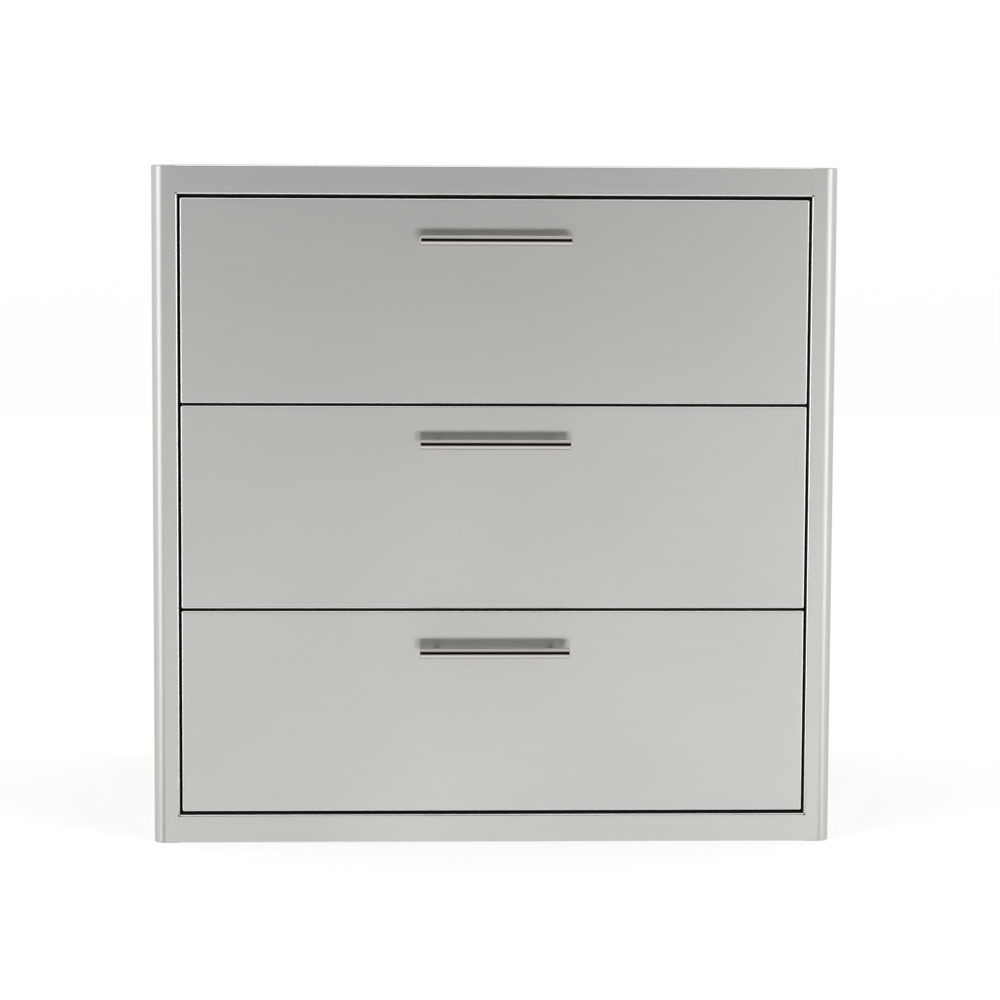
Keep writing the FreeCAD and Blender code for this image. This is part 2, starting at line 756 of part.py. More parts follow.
def ball_cage(label, number, row, track_low):
    """One stage of caged balls: an upper and a lower strip in both slides of a drawer."""
    level = drawer_level(number) + slide_level
    start = slide_start + (dim.slide_length - dim.cage_length) / 2
    body = new_body(label, back=face_y + start, up=level)
    middle_x = slide_face - row
    middle_z = track_low + dim.ball_track / 2
    strip = new_sketch(
        body, label + "_strip", "XY_Plane", (ZERO, ZERO, middle_z - dim.cage_sheet / 2)
    )
    half = dim.cage_width / 2
    add_outline(strip, rectangle(middle_x - half, ZERO, middle_x + half, dim.cage_length))
    repeated(body, pad(body, strip, dim.cage_sheet), "XY_Plane", "YZ_Plane")
    pitch = dim.cage_length / dim.balls_per_row.value
    run = dim.cage_length - pitch
    hole = new_sketch(body, label + "_hole", "XY_Plane")
    add_circle(hole, middle_x, pitch / 2, dim.ball_diameter + dim.ball_play * 2)
    holes = cut(body, hole)
    repeated(body, holes, ("Y", run, dim.balls_per_row), "YZ_Plane")
    ball = body.newObject("PartDesign::AdditiveSphere", label + "_ball")
    ball.AttachmentSupport = [(origin_feature(body, "XY_Plane"), "")]
    ball.MapMode = "FlatFace"
    bind(ball, "Radius", dim.ball_diameter / 2)
    for axis, length in zip("xyz", (middle_x, pitch / 2, middle_z)):
        bind(ball, f"AttachmentOffset.Base.{axis}", length)
    doc.recompute()
    repeated(body, ball, ("Y", run, dim.balls_per_row), "XY_Plane", "YZ_Plane")
    return body


# The drawers.


def front_edges(shape):
    """Names of the edges round the face of a drawer front and along its four corners."""
    names = []
    for index, edge in enumerate(shape.Edges, start=1):
        box = edge.BoundBox
        on_face = box.YMax < NEAR
        corner = box.YLength > dim.front_depth.value - NEAR
        if on_face or corner:
            names.append(f"Edge{index}")
    return names


def drawer_front_skin(label, number):
    """The outer panel of a drawer front, folded back on all four sides."""
    body = new_body(label, up=drawer_level(number))
    face = new_sketch(body, label + "_face", "XZ_Plane")
    add_outline(face, rectangle(-front_half, ZERO, front_half, dim.front_height))
    block = pad(body, face, dim.front_depth, flip=True)
    rounded = body.newObject("PartDesign::Fillet", label + "_rounded")
    rounded.Base = (block, front_edges(block.Shape))
    bind(rounded, "Radius", dim.front_radius)
    doc.recompute()
    hollow = new_sketch(body, label + "_hollow", "XZ_Plane", (ZERO, ZERO, -dim.inner_sheet))
    inside = front_half - dim.inner_sheet
    high = dim.front_height - dim.inner_sheet
    add_outline(hollow, rectangle(-inside, dim.inner_sheet, inside, high))
    cut(body, hollow, dim.front_depth)
    holes = new_sketch(body, label + "_handle_holes", "XZ_Plane")
    for across in (-dim.handle_spacing / 2, dim.handle_spacing / 2):
        add_circle(holes, across, handle_level(number), screw_hole)
    cut(body, holes)
    return body


def drawer_front_liner(label, number):
    """The flat panel that closes a drawer front from behind."""
    plate_start = dim.front_depth - dim.inner_sheet
    body = new_body(label, back=face_y + plate_start, up=drawer_level(number))
    plate = new_sketch(body, label + "_plate", "XZ_Plane")
    inside = front_half - dim.inner_sheet - dim.hole_play
    low = dim.inner_sheet + dim.hole_play
    add_outline(plate, rectangle(-inside, low, inside, dim.front_height - low))
    for side in (-1, 1):
        add_circle(plate, dim.handle_spacing / 2 * side, handle_level(number), screw_hole)
        for up in (tray_screw_low, tray_screw_low + dim.tray_screw_pitch):
            add_circle(plate, dim.tray_screw_spread / 2 * side, up, tray_screw_hole)
    pad(body, plate, dim.inner_sheet, flip=True)
    return body


def drawer_tray(label, number):
    """Floor and sides of a tray in one folded sheet, with a safe hemmed rim."""
    body = new_body(label, back=face_y + dim.front_depth, up=drawer_level(number) + dim.tray_rise)
    rim = tray_half - dim.tray_hem
    path = [
        (-rim, dim.tray_height),
        (-tray_half, dim.tray_height),
        (-tray_half, ZERO),
        (tray_half, ZERO),
        (tray_half, dim.tray_height),
        (rim, dim.tray_height),
    ]
    bends = (dim.bend_radius,) * 4
    sheet_section(body, "XZ_Plane", path, dim.tray_sheet, bends, dim.tray_depth, flip=True)
    rivets = new_sketch(body, label + "_slide_holes", "YZ_Plane")
    first_along = dim.slide_setback + dim.slide_rivet_inset
    add_circle(rivets, first_along, dim.slide_rise, rivet_hole)
    first = cut(body, rivets)
    repeated(body, first, ("Y", dim.slide_length - dim.slide_rivet_inset * 2, dim.slide_rivets))
    return body


def tray_ends(label, number):
    """The tray's front and rear walls, each with a hemmed rim, welded in between its sides."""
    body = new_body(label, back=face_y + dim.front_depth, up=drawer_level(number) + dim.tray_rise)
    wall = tray_half - dim.tray_sheet
    low = dim.tray_sheet
    top = dim.tray_height - dim.tray_sheet
    corner = dim.bend_radius - dim.tray_sheet
    rear = dim.tray_depth - dim.tray_sheet
    for name, along in (("front", ZERO), ("rear", rear)):
        plate = new_sketch(body, f"{label}_{name}", "XZ_Plane", (ZERO, ZERO, -along))
        add_outline(plate, rectangle(-wall, low, wall, top, corner))
        pad(body, plate, dim.tray_sheet, flip=True)
    rims = new_sketch(body, label + "_rims", "YZ_Plane")
    rim = tray_half - dim.tray_hem
    hem = dim.tray_hem
    add_outline(rims, rectangle(ZERO, top, hem, dim.tray_height))
    add_outline(rims, rectangle(dim.tray_depth - hem, top, dim.tray_depth, dim.tray_height))
    pad(body, rims, rim * 2, both_ways=True)
    screws = new_sketch(body, label + "_front_holes", "XZ_Plane")
    for side in (-1, 1):
        for up in (dim.tray_screw_rise, dim.tray_screw_rise + dim.tray_screw_pitch):
            add_circle(screws, dim.tray_screw_spread / 2 * side, up, tray_screw_hole)
    cut(body, screws, dim.tray_sheet)
    return body


def handle_bar(label, number):
    """A polished round bar with chamfered ends."""
    level = drawer_level(number) + handle_level(number)
    body = new_body(label, back=face_y - handle_out, up=level)
    half = dim.handle_length / 2
    flat = half - dim.handle_chamfer
    rim = handle_radius - dim.handle_chamfer
    profile = [(-half, ZERO), (-half, rim), (-flat, handle_radius)]
    profile += [(flat, handle_radius), (half, rim), (half, ZERO)]
    turned(body, label + "_profile", "X", profile, (ZERO, ZERO, ZERO))
    return body


def handle_posts(label, number):
    """Two posts, saddled to the bar and tapped for the handle screws."""
    body = new_body(label, up=drawer_level(number) + handle_level(number))
    radius = dim.post_diameter / 2
    bore = (dim.screw_diameter + dim.hole_play) / 2
    profile = [
        (ZERO, bore),
        (ZERO, radius),
        (-handle_out, radius),
        (-handle_out, ZERO),
        (-dim.post_thread_depth, ZERO),
        (-dim.post_thread_depth, bore),
    ]
    post = turned(body, label + "_profile", "Y", profile, (dim.handle_spacing / 2, ZERO, ZERO))
    repeated(body, post, "YZ_Plane")
    saddle = body.newObject("PartDesign::SubtractiveCylinder", label + "_saddle")
    saddle.AttachmentSupport = [(origin_feature(body, "YZ_Plane"), "")]
    saddle.MapMode = "FlatFace"
    bind(saddle, "Radius", handle_radius)
    bind(saddle, "Height", dim.handle_length)
    bind(saddle, "AttachmentOffset.Base.x", -handle_out)
    bind(saddle, "AttachmentOffset.Base.z", -dim.handle_length / 2)
    doc.recompute()
    return body


def screw_profile(diameter, head, head_height, length):
    """A pan head screw along its axis: the tip ahead of the face it bears on, the head behind."""
    shank = diameter / 2
    upright = head_height / 2
    crown = head / 4
    return [
        (-length, ZERO),
        (-length, shank),
        (ZERO, shank),
        (ZERO, head / 2),
        (upright, head / 2),
        (head_height, crown),
        (head_height, ZERO),
    ]


def drawer_fasteners(label, number):
    """Handle screws, tray screws and the rivets that hold the inner slide members."""
    body = new_body(label, up=drawer_level(number))
    reach = dim.front_depth + dim.post_thread_depth - dim.screw_end_space
    profile = screw_profile(dim.screw_diameter, dim.screw_head, dim.pan_head_height, reach)
    at = (-dim.handle_spacing / 2, dim.front_depth, handle_level(number))
    repeated(body, turned(body, label + "_handle", "Y", profile, at), "YZ_Plane")
    profile = screw_profile(
        dim.tray_screw_diameter, dim.tray_screw_head, dim.pan_head_height, dim.tray_screw_length
    )
    at = (-dim.tray_screw_spread / 2, dim.front_depth + dim.tray_sheet, tray_screw_low)
    tray_screw = turned(body, label + "_tray", "Y", profile, at)
    repeated(body, tray_screw, ("Z", dim.tray_screw_pitch, 2), "YZ_Plane")
    profile = rivet_profile(dim.tray_sheet + dim.slide_sheet)
    at = (tray_half - dim.tray_sheet, slide_start + dim.slide_rivet_inset, slide_level)
    rivet = turned(body, label + "_slide", "X", profile, at)
    run = dim.slide_length - dim.slide_rivet_inset * 2
    repeated(body, rivet, ("Y", run, dim.slide_rivets), "YZ_Plane")
    return body


def build_cabinet():
    pieces = both_sides("side_panel", side_panel)
    pieces += [top_rail(), bottom_rail(), top_panel(), base_panel(), back_panel()]
    pieces += [back_panel_rivets(), cross_rails(), stop_bumpers()]
    for name, front in (("front", dim.upright_front), ("rear", dim.upright_rear)):
        pieces += both_sides(f"{name}_upright", lambda label: upright(label, front))
    pieces.append(slide_mount_screws())
    return pieces


def build_slides(name, number):
    pieces = []
    members = (("outer", outer_member), ("middle", middle_member), ("inner", inner_member))
    for member, build in members:
        pieces += both_sides(f"{name}_slide_{member}", lambda label: build(label, number))
    pieces.append(ball_cage(f"{name}_outer_ball_cages", number, dim.outer_row, middle_half))
    pieces.append(ball_cage(f"{name}_inner_ball_cages", number, dim.inner_row, inner_half))
    return pieces


def build_drawer(name, number):
    return [
        drawer_front_skin(f"{name}_drawer_front", number),
        drawer_front_liner(f"{name}_front_liner", number),
        drawer_tray(f"{name}_drawer_tray", number),
        tray_ends(f"{name}_tray_ends", number),
        handle_bar(f"{name}_handle_bar", number),
        handle_posts(f"{name}_handle_posts", number),
        drawer_fasteners(f"{name}_drawer_fasteners", number),
    ]


def check(pieces):
    """Stop if any object failed to recompute, or a piece isn't a valid closed shape."""
    doc.recompute()
    failed = [o.Label for o in doc.Objects if {"Invalid", "Error"} & set(o.State)]
    if failed:
        sys.exit("failed objects: " + ", ".join(failed))
    for piece in pieces:
        shape = piece.Shape
        if shape.isNull() or not shape.isValid() or not shape.Solids:
            sys.exit(f"{piece.Label} has no valid solid")


def export(pieces):
    os.makedirs("parts", exist_ok=True)
    for piece in pieces:
        piece.Shape.exportStep(f"parts/{piece.Label}.step")
        print(f"{piece.Label}: {len(piece.Shape.Solids)} solids, {piece.Shape.Volume:.0f} mm3")


subparts = build_cabinet()
for drawer_number, drawer_name in enumerate(DRAWERS):
    subparts += build_slides(drawer_name, drawer_number)
    subparts += build_drawer(drawer_name, drawer_number)
check(subparts)
export(subparts)
print(f"{len(subparts)} sub-parts, {overall_depth.value:.1f} mm deep over all")
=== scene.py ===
# %% [markdown]
# # A stainless steel drawer unit for an outdoor kitchen
# The real object is a bent sheet cabinet of 304 stainless steel with three equal drawers, each with
# a polished bar handle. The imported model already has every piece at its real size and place, so
# this lesson dresses it: finishes, the small details that sheet metal work leaves behind, and a
# studio. The frame is loaded first, because later pieces are placed by asking it where things are.

# %% Load the frame
import json
import math

import bmesh
import bpy
from mathutils import Matrix, Vector


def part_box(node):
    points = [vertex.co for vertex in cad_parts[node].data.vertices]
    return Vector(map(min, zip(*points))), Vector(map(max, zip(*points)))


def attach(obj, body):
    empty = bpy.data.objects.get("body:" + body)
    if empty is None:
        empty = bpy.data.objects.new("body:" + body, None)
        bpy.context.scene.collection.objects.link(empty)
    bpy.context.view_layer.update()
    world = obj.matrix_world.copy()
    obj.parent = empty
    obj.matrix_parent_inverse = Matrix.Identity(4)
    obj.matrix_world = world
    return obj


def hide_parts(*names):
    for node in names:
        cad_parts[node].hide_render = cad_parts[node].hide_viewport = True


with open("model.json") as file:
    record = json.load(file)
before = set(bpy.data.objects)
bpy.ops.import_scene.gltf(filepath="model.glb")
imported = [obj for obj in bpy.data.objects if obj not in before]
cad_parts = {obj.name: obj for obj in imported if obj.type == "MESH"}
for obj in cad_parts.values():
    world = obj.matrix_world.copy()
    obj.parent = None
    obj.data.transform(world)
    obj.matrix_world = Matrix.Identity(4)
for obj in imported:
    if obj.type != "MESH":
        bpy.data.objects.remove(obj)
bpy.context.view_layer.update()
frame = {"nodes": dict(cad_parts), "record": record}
nodes = frame["nodes"]
DRAWERS = ("bottom", "middle", "top")

# %% [markdown]
# Blender works in metres and metalwork in millimetres, so lengths are written as millimetres times
# MM. Colours are written as the sRGB hex values that a colour chart gives, and one function turns
# them into the linear values that a shader works with.

# %% Units and colours
MM = 0.001


def linear(code, alpha=1.0):
    """The linear RGBA of an sRGB hex colour."""
    parts = [int(code[i : i + 2], 16) / 255 for i in (1, 3, 5)]
    low = [part / 12.92 for part in parts]
    high = [((part + 0.055) / 1.055) ** 2.4 for part in parts]
    return [l if part <= 0.04045 else h for part, l, h in zip(parts, low, high)] + [alpha]


# %% [markdown]
# Every finish below is a small tree of shader nodes. This one function adds a node, sets its
# properties and fills its inputs, either with a value or with a link from another node's output.

# %% A helper that adds a node
def add(tree, kind, inputs=None, **settings):
    node = tree.nodes.new("ShaderNode" + kind)
    for name, value in settings.items():
        setattr(node, name, value)
    for name, value in (inputs or {}).items():
        if isinstance(value, bpy.types.NodeSocket):
            tree.links.new(value, node.inputs[name])
        else:
            node.inputs[name].default_value = value
    return node


def empty_tree(material):
    material.use_nodes = True
    material.node_tree.nodes.clear()
    return material.node_tree


# %% [markdown]
# The camera comes first, because it decides what shows. The edges and gaps of the front were
# measured in the photograph and a camera was fitted to them. It stands 3.7 metres from the front,
# 14 centimetres left of the middle and level with the top edge, and looks down a little.

# %% The camera
CAMERA_PLACE = (-138.4, -3941.8, 763.5)  # mm
CAMERA_TURN = 2.263  # degrees to the right of square on
CAMERA_DIP = 5.848  # degrees below level
CAMERA_ROLL = 0.281  # degrees
LENS = 118.7  # mm, on a 36 mm wide sensor

camera_data = bpy.data.cameras.new("camera")
camera_data.lens = LENS
camera_data.clip_start = 0.05
camera = bpy.data.objects.new("camera", camera_data)
bpy.context.scene.collection.objects.link(camera)
turn = Matrix.Rotation(-math.radians(CAMERA_TURN), 4, "Z")
dip = Matrix.Rotation(math.radians(90 - CAMERA_DIP), 4, "X")
roll = Matrix.Rotation(math.radians(CAMERA_ROLL), 4, "Z")
camera.matrix_world = Matrix.Translation(Vector(CAMERA_PLACE) * MM) @ turn @ dip @ roll
bpy.context.scene.camera = camera
bpy.context.scene.view_settings.view_transform = "Standard"
print(f"camera at {tuple(round(c, 3) for c in camera.location)} m")

# %% [markdown]
# Bare metal has no colour of its own to speak of. It shows its surroundings, so the studio is
# half of the finish. The polished handles in the photograph read like a chart of it: a bright line
# from the floor, a thin black one from the unlit room behind the camera, and a duller one from the
# ceiling. The world paints that room by direction, so no wall has to be built. Light Path keeps
# the plain white that the camera sees behind the part, and metal shows that white at the sides.

# %% The world round the part
UNLIT_HALF_WIDTH = 42  # degrees to each side of straight ahead
UNLIT_TOP = 42.5  # degrees above the horizon
UNLIT_FOOT = -13  # degrees, from where the floor brightens
FLOOR_LIT = -50  # degrees, to where it is fully lit
EDGE_BLUR = 4  # degrees
WHITE = "#FFFFFF"
UNLIT = "#141414"
CEILING = "#D8D8D8"
BACK_FLOOR = "#9A9A9A"  # the floor behind the part, close to it
BACKWARDS = (0.1, 0.6)  # how far back a direction points, from where to where it sees that floor
DOWNWARDS = (0.0, -0.7)  # and how far down
FILL_LEVEL = 0.9  # white world, for light that falls on dull surfaces


def seen_rays(tree):
    """1 for rays from the camera and for mirror and glass rays, 0 for soft light."""
    rays = add(tree, "LightPath").outputs
    seen = rays["Is Camera Ray"]
    for kind in ("Is Glossy Ray", "Is Transmission Ray"):
        seen = add(tree, "Math", {0: seen, 1: rays[kind]}, operation="MAXIMUM").outputs[0]
    return seen


def step_up(tree, value, start, end):
    """0 below start, 1 above end, and smooth between."""
    step = add(
        tree,
        "MapRange",
        {"Value": value, "From Min": start, "From Max": end},
        interpolation_type="SMOOTHSTEP",
    )
    return step.outputs["Result"]


world = bpy.data.worlds.new("studio")
bpy.context.scene.world = world
sky = empty_tree(world)
way = add(sky, "SeparateXYZ", {0: add(sky, "TexCoord").outputs["Generated"]}).outputs
flat_way = add(sky, "CombineXYZ", {"X": way["X"], "Y": way["Y"]})
level_way = add(sky, "VectorMath", {0: flat_way.outputs[0]}, operation="NORMALIZE")
ahead = add(
    sky, "VectorMath", {0: level_way.outputs[0], 1: (0, -1, 0)}, operation="DOT_PRODUCT"
).outputs["Value"]
side_edge = [math.cos(math.radians(UNLIT_HALF_WIDTH + blur)) for blur in (EDGE_BLUR, -EDGE_BLUR)]
top_edge = [math.sin(math.radians(UNLIT_TOP + blur)) for blur in (-EDGE_BLUR, EDGE_BLUR)]
foot_edge = [math.sin(math.radians(angle)) for angle in (FLOOR_LIT, UNLIT_FOOT)]
in_front = step_up(sky, ahead, *side_edge)
above = step_up(sky, way["Z"], *top_edge)
over_foot = step_up(sky, way["Z"], *foot_edge)
band = add(sky, "Math", {0: over_foot, 1: above}, operation="SUBTRACT").outputs[0]
unlit = add(sky, "Math", {0: in_front, 1: band}, operation="MULTIPLY").outputs[0]
camera_ray = add(sky, "LightPath").outputs["Is Camera Ray"]
not_camera = add(sky, "Math", {0: 1.0, 1: camera_ray}, operation="SUBTRACT").outputs[0]
unlit_share = add(sky, "Math", {0: unlit, 1: not_camera}, operation="MULTIPLY").outputs[0]
ceiling_share = add(sky, "Math", {0: above, 1: not_camera}, operation="MULTIPLY").outputs[0]
back_half = step_up(sky, way["Y"], *BACKWARDS)
downward = step_up(sky, way["Z"], *DOWNWARDS)
shade_share = add(sky, "Math", {0: back_half, 1: downward}, operation="MULTIPLY").outputs[0]
room = linear(WHITE)
for share, shade in ((shade_share, BACK_FLOOR), (ceiling_share, CEILING), (unlit_share, UNLIT)):
    mix = add(sky, "Mix", {"Factor": share, "A": room, "B": linear(shade)}, data_type="RGBA")
    room = mix.outputs["Result"]
strength = add(
    sky, "MapRange", {"Value": seen_rays(sky), "To Min": FILL_LEVEL, "To Max": 1.0}
).outputs["Result"]
background = add(sky, "Background", {"Color": room, "Strength": strength})
add(sky, "OutputWorld", {"Surface": background.outputs[0]})
print("world ready")

# %% [markdown]
# The floor is white board. Its own shading keeps the soft shadow of the part, and a little glow,
# only for rays that are seen, lifts it to the white of the backdrop. Glossy rays pass it by,
# because the lower half of the world already is the floor that metal shows.

# %% The floor
FLOOR_REACH = 6000  # mm, every way
FLOOR_PAINT = "#F2F2F0"
FLOOR_GLOW = 0.42  # of white


def new_object(name, data):
    thing = bpy.data.objects.new(name, data)
    bpy.context.scene.collection.objects.link(thing)
    return thing


floor_mesh = bpy.data.meshes.new("floor")
floor_corners = [
    (-FLOOR_REACH, -FLOOR_REACH),
    (FLOOR_REACH, -FLOOR_REACH),
    (FLOOR_REACH, FLOOR_REACH),
    (-FLOOR_REACH, FLOOR_REACH),
]
floor_mesh.from_pydata([(x * MM, y * MM, 0) for x, y in floor_corners], [], [(0, 1, 2, 3)])
floor = new_object("floor", floor_mesh)
floor.visible_glossy = False
board = bpy.data.materials.new("white_board")
tree = empty_tree(board)
paint = add(tree, "BsdfDiffuse", {"Color": linear(FLOOR_PAINT)})
glow_level = add(tree, "Math", {0: seen_rays(tree), 1: FLOOR_GLOW}, operation="MULTIPLY")
glow = add(tree, "Emission", {"Color": linear(WHITE), "Strength": glow_level.outputs[0]})
lit = add(tree, "AddShader", {0: paint.outputs[0], 1: glow.outputs[0]})
add(tree, "OutputMaterial", {"Surface": lit.outputs[0]})
floor_mesh.materials.append(board)
print("floor ready")

# %% [markdown]
# Five lamps finish the studio. A tall softbox on either side draws the bright line down each
# rounded front corner, and a wide one overhead draws the thin lines along the folded edges. Two
# low lights stand for the lit floor before the camera. It is what the brushed fronts mostly show,
# and where a bar hides it they are dark, which is the soft band over each handle. A softbox's
# power in watts is worked out from the brightness that its face should have.

# %% The lamps
def softbox(name, place, aim, width, height, brightness):
    """A rectangular lamp: place and aim in mm, brightness as a multiple of white."""
    data = bpy.data.lights.new(name, "AREA")
    data.shape = "RECTANGLE"
    data.size = width * MM
    data.size_y = height * MM
    data.energy = brightness * math.pi * data.size * data.size_y
    lamp = new_object(name, data)
    lamp.location = Vector(place) * MM
    lamp.rotation_euler = (Vector(aim) - Vector(place)).to_track_quat("-Z", "Y").to_euler()
    lamp.visible_camera = False
    print(f"{name}: {data.energy:.1f} W")
    return lamp


CABINET_HALF = 381  # mm
SIDE_ANGLE = 36  # degrees off straight ahead
SIDE_DISTANCE = 2300  # mm
SIDE_HEIGHT = 700
SIDE_SIZE = (1500, 2200)
SIDE_BRIGHTNESS = 1.72
LIT_HEIGHT = 500
face_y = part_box("top_rail")[0].y / MM

side_lights = []
for name, side in (("left_softbox", -1), ("right_softbox", 1)):
    across = side * (CABINET_HALF + SIDE_DISTANCE * math.sin(math.radians(SIDE_ANGLE)))
    forward = face_y - SIDE_DISTANCE * math.cos(math.radians(SIDE_ANGLE))
    place, aim = (across, forward, SIDE_HEIGHT), (side * CABINET_HALF, face_y, LIT_HEIGHT)
    side_lights.append(softbox(name, place, aim, *SIDE_SIZE, SIDE_BRIGHTNESS))

OVERHEAD_PLACE = (0, face_y - 700, 2700)  # mm
OVERHEAD_SIZE = (2600, 1100)
OVERHEAD_BRIGHTNESS = 1.3
overhead_aim = (0, face_y, LIT_HEIGHT)
overhead = softbox(
    "overhead_softbox", OVERHEAD_PLACE, overhead_aim, *OVERHEAD_SIZE, OVERHEAD_BRIGHTNESS
)

LOW_TURNS = (-2.5, 8.5)  # degrees to the right of straight ahead, one for each lamp
LOW_DIP = 11.5  # degrees below level
LOW_SPREAD = 9  # degrees
LOW_POWER = 0.138  # W on a square metre

low_lights = []
for turned_right in LOW_TURNS:
    name = "low_light_right" if turned_right > 0 else "low_light_left"
    data = bpy.data.lights.new(name, "SUN")
    data.energy = LOW_POWER
    data.angle = math.radians(LOW_SPREAD)
    lamp = new_object(name, data)
    turned = Matrix.Rotation(math.radians(turned_right), 4, "Z")
    lamp.matrix_world = turned @ Matrix.Rotation(math.radians(90 + LOW_DIP), 4, "X")
    low_lights.append(lamp)
print(f"{len(bpy.data.lights)} lamps")

# %% [markdown]
# The steel is 304, rolled and then brushed with a fine belt: a number 4 finish. The belt leaves
# fine parallel scratches, so a highlight is drawn out across them and stays sharp along them,
# which is what anisotropy does. The scratches are really about 0.05 mm wide, too fine to show, so
# they are drawn 0.6 mm wide and very faint. They run level on every sheet, as the sharp edges of
# the reflections in the photograph say.

# %% Grain for brushed and rolled steel
def grain(tree, along, length, width, seed):
    """Faint parallel streaks: their length and width in mm, along the object's X, Y or Z."""
    place = add(tree, "TexCoord").outputs["Object"]
    shift = add(tree, "VectorMath", {0: place, 1: (seed, seed, seed)}, operation="ADD")
    sizes = [length if axis in along else width for axis in "XYZ"]
    scale = tuple(1 / (size * MM) for size in sizes)
    stretched = add(tree, "VectorMath", {0: shift.outputs[0], 1: scale}, operation="MULTIPLY")
    return add(
        tree,
        "TexNoise",
        {"Vector": stretched.outputs[0], "Scale": 1.0, "Detail": 3.0, "Roughness": 0.6},
    ).outputs["Fac"]


def cloud(tree, size, seed):
    """Slow, uneven patches about size mm wide."""
    place = add(tree, "TexCoord").outputs["Object"]
    shift = add(tree, "VectorMath", {0: place, 1: (seed, seed, seed)}, operation="ADD")
    scale = 1 / (size * MM)
    return add(
        tree, "TexNoise", {"Vector": shift.outputs[0], "Scale": scale, "Detail": 2.0}
    ).outputs["Fac"]


NOISE_RANGE = {"From Min": 0.25, "From Max": 0.75}  # what a noise mostly keeps to


def between(tree, factor, low, high):
    """A number that follows a noise from low to high."""
    return add(
        tree, "MapRange", {"Value": factor, **NOISE_RANGE, "To Min": low, "To Max": high}
    ).outputs["Result"]


def shade(tree, inputs):
    """End a material's tree in one principled shader."""
    shader = add(tree, "BsdfPrincipled", inputs)
    add(tree, "OutputMaterial", {"Surface": shader.outputs[0]})


def tint(tree, factor, dark, light):
    """A colour from dark to light. Either is a hex code or another node's output."""
    ends = [linear(end) if isinstance(end, str) else end for end in (dark, light)]
    return add(
        tree, "Mix", {"Factor": factor, "A": ends[0], "B": ends[1]}, data_type="RGBA"
    ).outputs["Result"]


# %% [markdown]
# Brushed sheet shines where it is folded. The bend presses the scratches flat, and hands and
# cloths burnish what stands out, which the mask shows as lower roughness. The mask comes from where
# a surface faces, so each kind of sheet has its own for its folds, and it also makes the steel
# paler
# there: that paler colour is a painted highlight. The stiles are a shade lighter than the drawer
# fronts, and the top has its grain lengthwise.

# %% Brushed stainless steel
BELT_MARK = (90, 0.6)  # mm, length and width as drawn
BELT_RELIEF = 0.02  # mm
HANDLED_PATCH = 180  # mm
BRUSHED_ROUGHNESS = (0.38, 0.40)
BURNISHED_ROUGHNESS = 0.22
# A painted highlight: the paler colour that the folds are given.
PAINTED_EDGE_HIGHLIGHT = "#F3F2EF"


def brushed_steel(name, along, axis, turn=0.25, edges=None, dark="#C3C2BF", light="#CBCAC7"):
    """Brushed along the given axes, with the grain running round axis. Edges tells, from the
    tree, where the sheet is folded: smoother there, and painted paler as a highlight."""
    material = bpy.data.materials.new(name)
    tree = empty_tree(material)
    scratches = grain(tree, along, *BELT_MARK, seed=3.1)
    handling = cloud(tree, HANDLED_PATCH, seed=7.7)
    colour = tint(tree, scratches, dark, light)
    roughness = between(tree, handling, *BRUSHED_ROUGHNESS)
    if edges:
        share = edges(tree)
        # Painted highlight: the folds are painted paler here, and made smoother below.
        colour = tint(tree, share, colour, PAINTED_EDGE_HIGHLIGHT)
        smooth = {"Factor": share, "A": roughness, "B": BURNISHED_ROUGHNESS}
        roughness = add(tree, "Mix", smooth).outputs["Result"]
    relief = BELT_RELIEF * MM
    bump = add(tree, "Bump", {"Height": scratches, "Strength": 0.25, "Distance": relief})
    tangent = add(tree, "Tangent", direction_type="RADIAL", axis=axis)
    shade(tree, {
        "Base Color": colour,
        "Metallic": 1.0,
        "Roughness": roughness,
        "Anisotropic": 0.1,
        "Anisotropic Rotation": turn,
        "Normal": bump.outputs[0],
        "Tangent": tangent.outputs[0],
    })
    return material


def facing(tree):
    """The object-space direction that the surface faces: X, Y and Z."""
    return add(tree, "SeparateXYZ", {0: add(tree, "TexCoord").outputs["Normal"]}).outputs


def size_of(tree, value):
    return add(tree, "Math", {0: value}, operation="ABSOLUTE").outputs[0]


def off_the_face(tree):
    """A drawer front's rounded edges: everything that doesn't face straight forward."""
    straight = size_of(tree, facing(tree)["Y"])
    return step_up(tree, straight, 0.995, 0.96)


def folded_up_or_down(tree):
    """The bends along a rail's edges."""
    return step_up(tree, size_of(tree, facing(tree)["Z"]), 0.1, 0.3)


def folded_inwards(tree):
    """The bend where a stile turns in to the opening. The large outer bend faces away from it."""
    place = add(tree, "SeparateXYZ", {0: add(tree, "TexCoord").outputs["Object"]}).outputs["X"]
    side = add(tree, "Math", {0: place}, operation="SIGN").outputs[0]
    inwards = add(tree, "Math", {0: facing(tree)["X"], 1: side}, operation="MULTIPLY").outputs[0]
    return step_up(tree, inwards, -0.1, -0.3)


brushed = brushed_steel("brushed_304", "XY", "Z")
brushed_front = brushed_steel("brushed_304_drawer_front", "XY", "Z", edges=off_the_face)
brushed_rail = brushed_steel("brushed_304_rail", "XY", "Z", edges=folded_up_or_down)
brushed_stile = brushed_steel(
    "brushed_304_stile", "XY", "Z", edges=folded_inwards, dark="#C4C3C0", light="#CCCBC8"
)
brushed_top = brushed_steel("brushed_304_top", "X", "X", turn=0.0)
print("brushed steel ready")

# %% [markdown]
# The handles are the same steel, turned and polished, so they mirror the studio almost sharply.
# The polishing mop leaves faint hairlines along a bar. They are drawn as a very shallow bump, and
# break the reflections up just enough to look like metal and not like glass.

